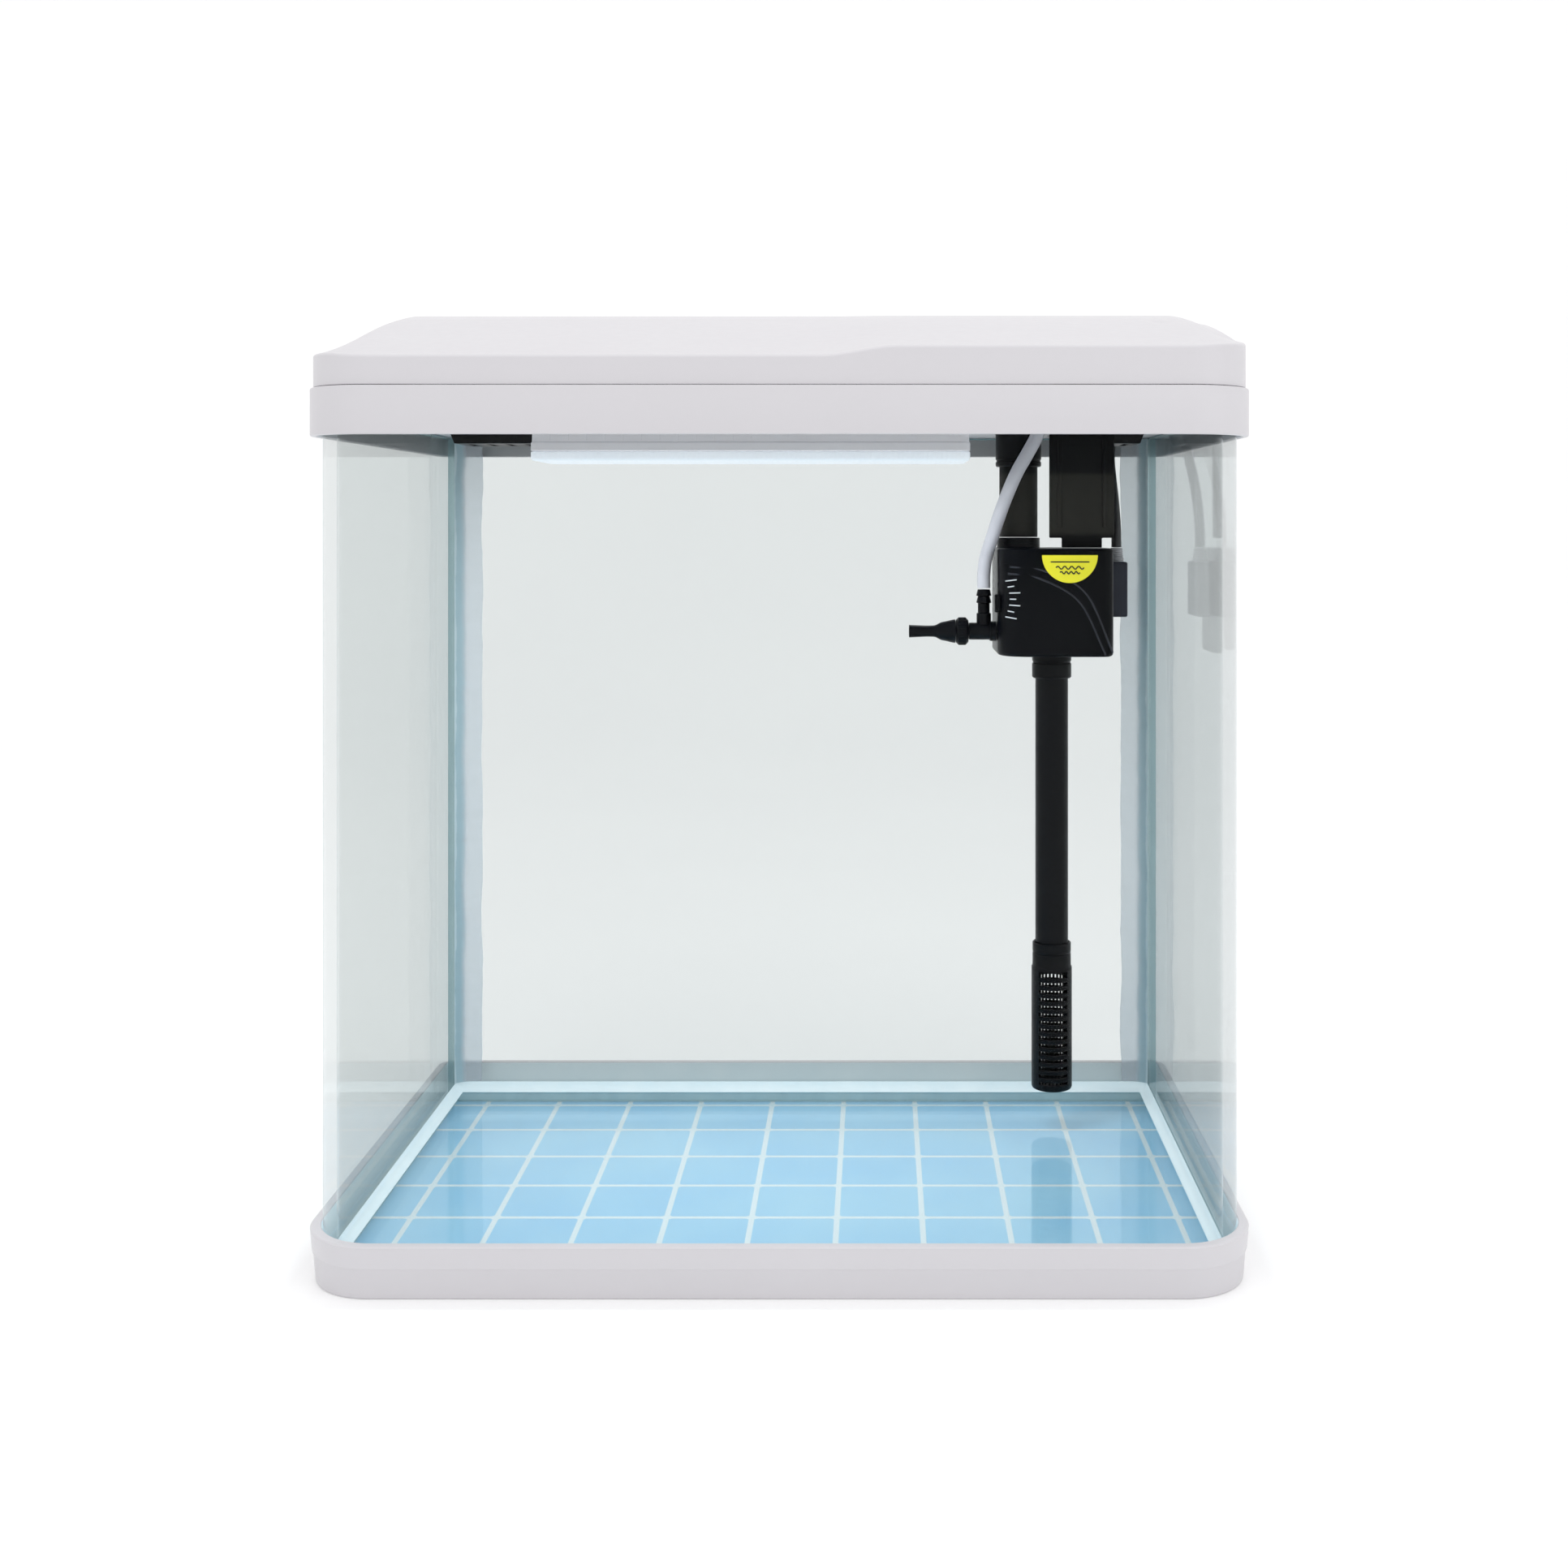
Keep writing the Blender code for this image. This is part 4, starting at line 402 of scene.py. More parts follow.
def makeSilicone():
    # corner beads: the glass's green-blue edge shows at the corner, thin smeared sealant further in
    paint = Paint("cornerBead")
    side = paint.node("ShaderNodeMath", {"operation": "ABSOLUTE"}, {0: paint.axis("X")})
    low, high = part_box("corner_seam_right")
    waver = paint.noise(60, 3, 0.6, (0.4, 0.4, 1.0))
    place = side + (waver - 0.5) * 0.0024
    near = paint.span(place, high.x - 5.5 * mm, high.x - 2.4 * mm, smooth=True)
    edge = paint.span(place, high.x - 0.9 * mm, high.x - 0.2 * mm, smooth=True)
    tone = paint.blend(near, siliconeLook["cheek"], siliconeLook["core"])
    tone = paint.blend(edge * 0.5, tone, siliconeLook["clear"])
    skin = paint.bump(waver, 0.0006, 0.5)
    opacity = paint.span(
        near, 0.0, 1.0, siliconeLook["cheekOpacity"], siliconeLook["coreOpacity"]
    ) + (waver - 0.5) * 0.12
    through = paint.node("ShaderNodeBsdfTransparent", values={"Color": (0.93, 0.96, 0.97, 1)})
    body = paint.shader(Base_Color=tone, Roughness=0.28, Normal=skin, IOR=1.41)
    paints["cornerBead"] = paint.finish(
        paint.mixed(opacity, through, body)
    )

    # painted light: the bead round the floor and the base's recess walls glow, standing in for the light the
    # glass's lower edge carries
    for name, low, high, glow, opacity in (
        ("floorBead", (0.74, 0.86, 0.91), (0.90, 0.96, 0.98), 0.30, 0.55),
        ("litEdge", (0.72, 0.84, 0.90), (0.84, 0.92, 0.96), 0.22, 1.0),
    ):
        paint = Paint(name)
        waver = paint.noise(70, 3, 0.6)
        tone = paint.blend(waver, low, high)
        skin = paint.bump(waver, 0.0006, 0.5)
        body = paint.shader(
            Base_Color=tone, Roughness=0.3, Normal=skin, Emission_Color=tone, Emission_Strength=glow, IOR=1.41
        )
        if opacity < 1:
            through = paint.node("ShaderNodeBsdfTransparent", values={"Color": (0.94, 0.98, 0.99, 1)})
            body = paint.mixed(opacity, through, body)
        paints[name] = paint.finish(body)


tileLook = {
    "pitch": 0.034,
    "phase": (0.0202, -0.0063),
    "line": 0.00225,
    "crossing": 0.0019,
    "blue": (0.34, 0.68, 0.97),
    "paleBlue": (0.46, 0.78, 0.99),
    "white": (0.93, 0.97, 0.99),
    # painted light: a faint glow that brightens the print under the floor pane
    "paintedGlow": 0.10,
}


def makeTilePrint():
    # blue squares with white lines, rounded where the lines cross
    paint = Paint("tilePrint")

    def fromLine(axis, phase):
        cell = (paint.axis(axis) - phase) / tileLook["pitch"] + 0.5
        part = paint.node("ShaderNodeMath", {"operation": "FRACT"}, {0: cell})
        away = paint.node("ShaderNodeMath", {"operation": "ABSOLUTE"}, {0: part - 0.5})
        return away * tileLook["pitch"]

    across = fromLine("X", tileLook["phase"][0])
    along = fromLine("Y", tileLook["phase"][1])
    nearest = paint.node("ShaderNodeMath", {"operation": "MINIMUM"}, {0: across, 1: along})
    half = tileLook["line"] / 2
    lines = paint.span(nearest, half - 0.00015, half + 0.00015, 1.0, 0.0)
    # a small diamond fills each crossing
    reach = across + along
    diamond = paint.span(reach, half + tileLook["crossing"], half + tileLook["crossing"] + 0.0004, 1.0, 0.0)
    white = paint.node("ShaderNodeMath", {"operation": "MAXIMUM"}, {0: lines, 1: diamond})
    wash = paint.noise(14, 3, 0.55)
    dots = paint.noise(1400, 2, 0.5)
    blue = paint.blend(paint.span(wash, 0.3, 0.7), tileLook["blue"], tileLook["paleBlue"])
    blue = paint.blend(dots * 0.12, blue, (0.6, 0.8, 0.95))
    tone = paint.blend(white, blue, tileLook["white"])
    gloss = paint.span(wash, 0.3, 0.7, 0.28, 0.4)
    skin = paint.bump(dots, 0.00001, 0.4)
    paints["tilePrint"] = paint.finish(
        paint.shader(
            Base_Color=tone,
            Roughness=gloss,
            Normal=skin,
            # painted light: the print glows faintly
            Emission_Color=tone,
            Emission_Strength=tileLook["paintedGlow"],
        )
    )


def makeLampPaints():
    paint = Paint("litDiffuser")
    prisms = paint.node(
        "ShaderNodeTexWave", {"bands_direction": "X"}, {"Vector": paint.place(), "Scale": 160.0}
    )
    cloud = paint.noise(30, 2, 0.5)
    tone = paint.blend(cloud, (0.78, 0.84, 0.92), (0.88, 0.92, 0.97))
    glow = paint.blend(cloud, (0.88, 0.93, 1.0), (0.94, 0.97, 1.0))
    skin = paint.bump(prisms, 0.00015, 0.5)
    body = paint.shader(
        Base_Color=tone, Roughness=0.3, Normal=skin, Emission_Color=glow, Emission_Strength=0.26, IOR=1.49
    )
    paints["litDiffuser"] = paint.finish(body)

    paint = Paint("ledChip")
    cloud = paint.noise(900, 2, 0.5)
    tone = paint.blend(cloud, (0.90, 0.86, 0.50), (0.95, 0.92, 0.62))
    glow = paint.blend(cloud, (0.86, 0.93, 1.0), (1.0, 1.0, 1.0))
    body = paint.shader(Base_Color=tone, Roughness=0.3, Emission_Color=glow, Emission_Strength=3.0)
    paints["ledChip"] = paint.finish(body)


def makeSoftPaints():
    # air hose: milky and a little see-through
    paint = Paint("milkyHose")
    cloud = paint.noise(120, 3, 0.6)
    tone = paint.blend(cloud, (0.50, 0.49, 0.53), (0.66, 0.65, 0.69))
    through = paint.node("ShaderNodeBsdfTransparent", values={"Color": (0.86, 0.86, 0.90, 1)})
    skin = paint.bump(paint.noise(500, 2, 0.5), 0.00003, 0.5)
    body = paint.shader(Base_Color=tone, Roughness=0.30, Normal=skin, IOR=1.41, Subsurface_Weight=0.0)
    paints["milkyHose"] = paint.finish(
        paint.mixed(0.86, through, body)
    )

    paint = Paint("cableSheath")
    scuff = paint.noise(90, 4, 0.6)
    tone = paint.blend(scuff, (0.008, 0.008, 0.009), (0.020, 0.020, 0.022))
    gloss = paint.span(scuff, 0.3, 0.7, 0.36, 0.52)
    skin = paint.bump(paint.noise(800, 2, 0.5), 0.00004, 0.5)
    paints["cableSheath"] = paint.finish(paint.shader(Base_Color=tone, Roughness=gloss, Normal=skin))

    paint = Paint("whiteSheath")
    scuff = paint.noise(90, 4, 0.6)
    tone = paint.blend(scuff, (0.62, 0.62, 0.62), (0.74, 0.74, 0.75))
    skin = paint.bump(paint.noise(800, 2, 0.5), 0.00004, 0.5)
    paints["whiteSheath"] = paint.finish(paint.shader(Base_Color=tone, Roughness=0.45, Normal=skin))

    # reticulated foam: open cells with thin dark walls
    paint = Paint("openFoam")
    cells = paint.node(
        "ShaderNodeTexVoronoi", {"feature": "DISTANCE_TO_EDGE"}, {"Vector": paint.place(), "Scale": 520.0}
    )
    wall = paint.span(cells, 0.02, 0.16, 1.0, 0.0)
    tone = paint.blend(wall, (0.002, 0.002, 0.003), (0.035, 0.038, 0.045))
    skin = paint.bump(wall, 0.0006, 1.0)
    paints["openFoam"] = paint.finish(paint.shader(Base_Color=tone, Roughness=0.9, Normal=skin))

    paint = Paint("yellowVinyl")
    cloud = paint.noise(200, 3, 0.5)
    tone = paint.blend(cloud, (0.83, 0.76, 0.012), (0.90, 0.83, 0.03))
    skin = paint.bump(paint.noise(900, 2, 0.5), 0.00002, 0.5)
    paints["yellowVinyl"] = paint.finish(paint.shader(Base_Color=tone, Roughness=0.38, Normal=skin))

    for name, low, high in (
        ("inkBlack", (0.015, 0.015, 0.01), (0.03, 0.03, 0.02)),
        ("inkWhite", (0.60, 0.61, 0.64), (0.75, 0.76, 0.78)),
    ):
        paint = Paint(name)
        tone = paint.blend(paint.noise(1500, 2, 0.5), low, high)
        paints[name] = paint.finish(paint.shader(Base_Color=tone, Roughness=0.5))

    paint = Paint("paleFloor")
    tone = paint.blend(paint.noise(3, 4, 0.5), (0.86, 0.86, 0.865), (0.90, 0.90, 0.90))
    gloss = paint.span(paint.noise(6, 3, 0.5), 0.3, 0.7, 0.55, 0.7)
    body = paint.shader(Base_Color=tone, Roughness=gloss, Emission_Color=tone, Emission_Strength=0.13)
    paints["paleFloor"] = paint.finish(body)


setStage()
makePlastics()
makeSmokedPlastic()
makeMetals()
makeGlass()
makeSilicone()
makeTilePrint()
makeLampPaints()
makeSoftPaints()
print("paints mixed")


# shape helpers

def turnTo(axis):
    turns = {"X": Matrix.Rotation(math.pi / 2, 4, "Y"), "Y": Matrix.Rotation(-math.pi / 2, 4, "X")}
    return turns.get(axis, Matrix.Identity(4))


def rounded(width, depth, radii, inset=0.0, centre=(0.0, 0.0), steps=24):
    # outline of a rectangle with its own radius at each corner, from front left round to rear left
    points = []
    for corner, radius in enumerate(radii):
        sideX = -1 if corner in (0, 3) else 1
        sideY = -1 if corner in (0, 1) else 1
        bend = max(radius - inset, 0.00005)
        middleX = centre[0] + sideX * (width / 2 - inset - bend)
        middleY = centre[1] + sideY * (depth / 2 - inset - bend)
        for step in range(steps + 1):
            angle = math.pi + (corner + step / steps) * math.pi / 2
            points.append((middleX + bend * math.cos(angle), middleY + bend * math.sin(angle)))
    return points


def addLoft(bm, sections, closed=False, place=None, look=0):
    # skin through outlines given as (height, outline), closed on itself or capped
    rings = [[bm.verts.new((x, y, height)) for x, y in outline] for height, outline in sections]
    pairs = list(zip(rings, rings[1:] + (rings[:1] if closed else [])))
    made = []
    for below, above in pairs:
        for i in range(len(below)):
            j = (i + 1) % len(below)
            made.append(bm.faces.new((below[i], below[j], above[j], above[i])))
    if not closed:
        made.append(bm.faces.new(rings[0][::-1]))
        made.append(bm.faces.new(rings[-1]))
    for face in made:
        face.material_index = look
    if place:
        bmesh.ops.transform(bm, matrix=place, verts=[vert for ring in rings for vert in ring])
    return made


def addTurned(bm, profile, place, axis="Z", sides=64, closed=False, look=0):
    # a lathed body from (radius, height) pairs
    matrix = Matrix.Translation(place) @ turnTo(axis)
    rings = []
    for radius, height in profile:
        if radius < 0.00001:
            rings.append([bm.verts.new(matrix @ Vector((0, 0, height)))])
            continue
        ring = []
        for step in range(sides):
            angle = math.tau * step / sides
            ring.append(
                bm.verts.new(matrix @ Vector((radius * math.cos(angle), radius * math.sin(angle), height)))
            )
        rings.append(ring)
    for first, second in zip(rings, rings[1:] + (rings[:1] if closed else [])):
        for i in range(sides):
            j = (i + 1) % sides
            corners = [
                first[i % len(first)],
                first[j % len(first)],
                second[j % len(second)],
                second[i % len(second)],
            ]
            corners = list(dict.fromkeys(corners))
            if len(corners) > 2:
                bm.faces.new(corners).material_index = look


def softened(profile, radius, steps=3):
    # rounds the corners of an open profile
    points = [profile[0]]
    for before, corner, after in zip(profile, profile[1:], profile[2:]):
        middle = Vector(corner)
        back, ahead = Vector(before) - middle, Vector(after) - middle
        reach = min(radius, back.length * 0.45, ahead.length * 0.45)
        start, end = middle + back.normalized() * reach, middle + ahead.normalized() * reach
        for step in range(steps + 1):
            t = step / steps
            point = start * (1 - t) ** 2 + middle * 2 * t * (1 - t) + end * t * t
            points.append((max(point.x, 0.0), point.y))
    points.append(profile[-1])
    return points


def addTube(bm, points, radius, sides=20, look=0):
    # a round cord along a line of points
    tangent = (points[1] - points[0]).normalized()
    side = tangent.orthogonal().normalized()
    rings = []
    for i, point in enumerate(points):
        ahead = points[min(i + 1, len(points) - 1)] - points[max(i - 1, 0)]
        tangent = ahead.normalized()
        side = (side - tangent * side.dot(tangent)).normalized()
        over = tangent.cross(side)
        ring = []
        for step in range(sides):
            angle = math.tau * step / sides
            ring.append(bm.verts.new(point + radius * (side * math.cos(angle) + over * math.sin(angle))))
        rings.append(ring)
    for first, second in zip(rings, rings[1:]):
        for i in range(sides):
            j = (i + 1) % sides
            bm.faces.new((first[i], first[j], second[j], second[i])).material_index = look
    for end, ring in ((points[0], rings[0]), (points[-1], rings[-1])):
        middle = bm.verts.new(end)
        for i in range(sides):
            bm.faces.new((ring[i], ring[(i + 1) % sides], middle)).material_index = look


def smoothRoute(points, spacing=0.0012):
    knots = [Vector(p) for p in points]
    knots = [2 * knots[0] - knots[1], *knots, 2 * knots[-1] - knots[-2]]
    fine = []
    for a, b, c, d in zip(knots, knots[1:], knots[2:], knots[3:]):
        count = max(2, round((c - b).length / spacing))
        for step in range(count):
            t = step / count
            cubic = 2 * b + (c - a) * t + (2 * a - 5 * b + 4 * c - d) * t * t + (3 * b - a - 3 * c + d) * t**3
            fine.append(0.5 * cubic)
    return fine + [knots[-2]]


def addBox(bm, low, high, look=0):
    made = bmesh.ops.create_cube(bm, size=1.0)["verts"]
    bmesh.ops.scale(bm, vec=Vector(high) - Vector(low), verts=made)
    bmesh.ops.translate(bm, vec=(Vector(high) + Vector(low)) / 2, verts=made)
    for face in {face for vert in made for face in vert.link_faces}:
        face.material_index = look


def turnedBody(*given, **named):
    bm = bmesh.new()
    addTurned(bm, *given, **named)
    return bm


def boxBody(*given, **named):
    bm = bmesh.new()
    addBox(bm, *given, **named)
    return bm


def meshed(name, bm, *looks, angle=35):
    bmesh.ops.recalc_face_normals(bm, faces=bm.faces)
    mesh = bpy.data.meshes.new(name)
    bm.to_mesh(mesh)
    bm.free()
    obj = bpy.data.objects.new(name, mesh)
    bpy.context.scene.collection.objects.link(obj)
    for look in looks:
        mesh.materials.append(paints[look])
    mesh.shade_smooth()
    mesh.set_sharp_from_angle(angle=math.radians(angle))
    return obj


def settled(obj):
    # the modifiers' result as the object's own plain mesh
    bpy.context.view_layer.update()
    result = bpy.data.meshes.new_from_object(obj.evaluated_get(bpy.context.evaluated_depsgraph_get()))
    obj.modifiers.clear()
    obj.data = result
    return obj


def eased(obj, width, segments=2, angle=32):
    # small rounds on the sharp edges
    bevel = obj.modifiers.new("ease", "BEVEL")
    bevel.width = width
    bevel.segments = segments
    bevel.limit_method = "ANGLE"
    bevel.angle_limit = math.radians(angle)
    bevel.use_clamp_overlap = True
    bevel.harden_normals = False
    settled(obj)
    obj.data.shade_smooth()
    obj.data.set_sharp_from_angle(angle=math.radians(40))
    return obj


def cutBy(obj, bm, operation="DIFFERENCE"):
    tool = meshed("tool", bm)
    step = obj.modifiers.new("cut", "BOOLEAN")
    step.operation = operation
    step.solver = "EXACT"
    step.object = tool
    settled(obj)
    bpy.data.objects.remove(tool)
    obj.data.shade_smooth()
    obj.data.set_sharp_from_angle(angle=math.radians(35))
    return obj


def placed(obj, body, slotName, *nodes):
    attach(obj, body)
    if nodes:
        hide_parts(*nodes)
    return obj


def refined(node, name, look, body, slotName, ease=0.0, segments=2):
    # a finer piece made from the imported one
    bm = bmesh.new()
    bm.from_mesh(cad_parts[node].data)
    bmesh.ops.remove_doubles(bm, verts=bm.verts, dist=0.000005)
    bmesh.ops.dissolve_limit(bm, angle_limit=math.radians(1.5), verts=bm.verts, edges=bm.edges)
    obj = meshed(name, bm, look)
    if ease:
        eased(obj, ease, segments)
    return placed(obj, body, slotName, node)


def keep(node, look):
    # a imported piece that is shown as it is
    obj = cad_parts[node]
    obj.data.materials.clear()
    obj.data.materials.append(paints[look])


# repeated parts

class Graph:
    # a geometry node group with named inputs
    def __init__(self, name, inputs):
        self.group = bpy.data.node_groups.new(name, "GeometryNodeTree")
        self.keys = {}
        for title, kind in inputs:
            self.keys[title] = self.group.interface.new_socket(
                title, in_out="INPUT", socket_type=kind
            ).identifier
        self.group.interface.new_socket("Geometry", in_out="OUTPUT", socket_type="NodeSocketGeometry")
        self.source = self.group.nodes.new("NodeGroupInput")
        self.result = self.group.nodes.new("NodeGroupOutput")

    def given(self, title):
        return next(socket for socket in self.source.outputs if socket.name == title)

    def node(self, kind, settings=None, values=None, output=0):
        made = self.group.nodes.new(kind)
        for key, value in (settings or {}).items():
            setattr(made, key, value)
        for key, value in (values or {}).items():
            if isinstance(value, bpy.types.NodeSocket):
                self.group.links.new(value, made.inputs[key])
            else:
                made.inputs[key].default_value = value
        return made.outputs[output]


def makeRow():
    inputs = [("Part", "NodeSocketObject"), ("Count", "NodeSocketInt"), ("Step", "NodeSocketVector")]
    inputs += [("Turn", "NodeSocketVector"), ("Wander", "NodeSocketFloat"), ("Seed", "NodeSocketInt")]
    inputs += [("Material", "NodeSocketMaterial")]
    graph = Graph("row of parts", inputs)
    line = graph.node(
        "GeometryNodeMeshLine", {"mode": "OFFSET"}, {
            "Count": graph.given("Count"),
            "Offset": graph.given("Step"),
        }
    )
    index = graph.node("GeometryNodeInputIndex")
    scaled = graph.node(
        "ShaderNodeVectorMath", {"operation": "SCALE"}, {0: graph.given("Turn"), "Scale": index}
    )
    drift = graph.node(
        "FunctionNodeRandomValue",
        {"data_type": "FLOAT"},
        {"Seed": graph.given("Seed"), 2: -1.0, 3: 1.0},
        output=1,
    )
    amount = graph.node("ShaderNodeMath", {"operation": "MULTIPLY"}, {0: drift, 1: graph.given("Wander")})
    turned = graph.node("ShaderNodeVectorMath", {"operation": "ADD"}, {0: scaled, 1: amount})
    part = graph.node("GeometryNodeObjectInfo", {}, {"Object": graph.given("Part")}, output="Geometry")
    several = graph.node(
        "GeometryNodeInstanceOnPoints", {}, {"Points": line, "Instance": part, "Rotation": turned}
    )
    solid = graph.node("GeometryNodeRealizeInstances", {}, {"Geometry": several})
    painted = graph.node(
        "GeometryNodeSetMaterial", {}, {"Geometry": solid, "Material": graph.given("Material")}
    )
    graph.group.links.new(painted, graph.result.inputs[0])
    return graph


row = makeRow()


def repeated(
    name,
    part,
    count,
    step=(0, 0, 0),
    turn=(0, 0, 0),
    look="blackShell",
    place=(0, 0, 0),
    axis="Z",
    wander=0.0,
    seed=3,
):
    obj = bpy.data.objects.new(name, bpy.data.meshes.new(name))
    bpy.context.scene.collection.objects.link(obj)
    modifier = obj.modifiers.new("row", "NODES")
    modifier.node_group = row.group
    values = {
        "Part": part,
        "Count": count,
        "Step": step,
        "Turn": turn,
        "Wander": wander,
        "Seed": seed,
        "Material": paints[look],
    }
    for title, value in values.items():
        modifier[row.keys[title]] = value
    settled(obj)
    bpy.data.objects.remove(part)
    obj.data.transform(Matrix.Translation(place) @ turnTo(axis))
    obj.data.shade_smooth()
    obj.data.set_sharp_from_angle(angle=math.radians(35))
    return obj


def joined(name, *objs):
    # several plain meshes as one, with their materials
    looks = []
    bm = bmesh.new()
    for obj in objs:
        before = len(bm.faces)
        bm.from_mesh(obj.data)
        bm.faces.ensure_lookup_table()
        for face in bm.faces[before:]:
            paint = obj.data.materials[face.material_index].name
            if paint not in looks:
                looks.append(paint)
            face.material_index = looks.index(paint)
    for obj in objs:
        bpy.data.objects.remove(obj)
    return meshed(name, bm, *looks)


# base tray

base = {
    "width": 0.350,
    "depth": 0.222,
    "height": 0.0198,
    "frontRadius": 0.0270,
    "rearRadius": 0.0080,
    "stepHeight": 0.0110,
    "step": 0.0004,
    "lean": 0.0020,
    "lip": 0.0009,
    "floor": 0.0019,
    "tank": (0.3425, 0.2145),
    "tankRadius": 0.0245,
}


def makeBase():
    corners = (base["frontRadius"],) * 2 + (base["rearRadius"],) * 2
    tankCorners = (base["tankRadius"],) * 2 + (0.0004,) * 2

    def outline(inset):
        return rounded(base["width"], base["depth"], corners, inset)

    def recess(inset):
        return rounded(*base["tank"], tankCorners, inset)

    top, lip, step, lean = base["height"], base["lip"], base["stepHeight"], base["lean"]
    sections = [(0.0, outline(lean + 0.0010)), (0.0003, outline(lean + 0.0003)), (0.0010, outline(lean))]
    sections += [
        (step - 0.0002, outline(base["step"] + lean * 0.4)),
        (step + 0.0001, outline(base["step"] * 0.5 + lean * 0.4)),
    ]
    sections += [
        (step + base["step"] + 0.0001, outline(lean * 0.36)),
        (step + base["step"] + 0.0005, outline(lean * 0.32)),
    ]
    sections += [(top - lip, outline(0.0001))]
    for turn in range(1, 6):
        angle = math.pi / 2 * turn / 5
        sections.append((top - lip + lip * math.sin(angle), outline(lip * (1 - math.cos(angle)))))
    sections += [(top, recess(-0.0004)), (top - 0.0003, recess(0.0)), (base["floor"], recess(0.0))]
    bm = bmesh.new()
    faces = addLoft(bm, sections)
    # painted light: the recess walls take the glowing litEdge paint
    recessFaces = faces[-2 - len(recess(0.0)) : -2] + faces[-1:]
    for face in recessFaces:
        face.material_index = 1
    placed(meshed("baseTray", bm, "whiteShell", "litEdge"), "tank", "white_plastic", "base_tray")


# glass tank

glass = {
    "width": 0.3415,
    "depth": 0.2135,
    "wall": 0.0050,
    "bend": 0.0240,
    "bottom": 0.0022,
    "top": 0.3207,
    "arris": 0.0005,
    "gap": 0.0003,
    "band": 0.060,
}


def makeGlassWall():
    wall, bend, arris = glass["wall"], glass["bend"], glass["arris"]
    rear = glass["depth"] / 2

    def path(inset, end):
        # from the rear left round the front to the rear right
        turns = rounded(glass["width"], glass["depth"], (bend, bend, 0, 0), inset, steps=32)[:66]
        left, right = turns[0][0], turns[-1][0]
        count = 12
        line = [(left, rear - end + (turns[0][1] - rear + end) * i / count) for i in range(count)]
        back = [(right, turns[-1][1] + (rear - end - turns[-1][1]) * (i + 1) / count) for i in range(count)]
        return line + turns + back

    # the pane's section, inset and height, with polished arrises; look 0 is the face, 1 the edge
    low, high = glass["bottom"], glass["top"]
    section = [
        (0.0, low + arris), (0.0, low + glass["band"]), (0.0, high - arris), (arris, high),
        (wall - arris, high), (wall, high - arris), (wall, low + glass["band"]), (wall, low + arris),
        (wall - arris, low), (arris, low),
    ]
    bm = bmesh.new()
    rows = []
    for inset, height in section:
        end = 0.0 if 0 < inset < wall else arris
        rows.append([bm.verts.new((x, y, height)) for x, y in path(inset, end)])
    count = len(section)
    for i in range(count):
        first, second = rows[i], rows[(i + 1) % count]
        for j in range(len(first) - 1):
            # the straight side walls take the left and right glass copies, with their painted shade
            side = 2 if j < 12 else 3 if j >= len(first) - 13 else 0
            look = side if i in (0, 1, 5, 6) else 1
            bm.faces.new((first[j], first[j + 1], second[j + 1], second[j])).material_index = look
    for end in (0, -1):
        face = bm.faces.new([row[end] for row in rows])
        face.material_index = 1
    obj = meshed("glassWall", bm, "paneGlass", "glassEdge", "leftGlass", "rightGlass", angle=20)
    placed(obj, "tank", "glass", "front_glass")


def makePanes():
    wall, arris, gap = glass["wall"], glass["arris"], glass["gap"]
    inner = glass["width"] - 2 * wall
    rear = glass["depth"] / 2

    obj = meshed(
        "backPane",
        boxBody((-inner / 2 + gap, rear - wall, glass["bottom"]), (inner / 2 - gap, rear, glass["top"])),
        "paneGlass",
        "glassEdge",
    )
    eased(obj, arris, 1)
    for face in obj.data.polygons:
        face.material_index = 0 if abs(face.normal.y) > 0.9 else 1
    placed(obj, "tank", "glass", "back_glass")

    low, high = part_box("bottom_glass")
    bend = glass["bend"] - wall
    depth = 2 * (rear - wall)

    def outline(inset):
        return rounded(inner, depth, (bend, bend, 0.0004, 0.0004), gap + inset, steps=32)

    bm = bmesh.new()
    sections = [
        (low.z, outline(arris)), (low.z + arris, outline(0)), (high.z - arris, outline(0)),
        (high.z, outline(arris)),
    ]
    faces = addLoft(bm, sections, look=1)
    for face in faces[-2:]:
        face.material_index = 0
    placed(meshed("floorPane", bm, "floorGlass", "glassEdge", angle=20), "tank", "glass", "bottom_glass")


# sealant beads

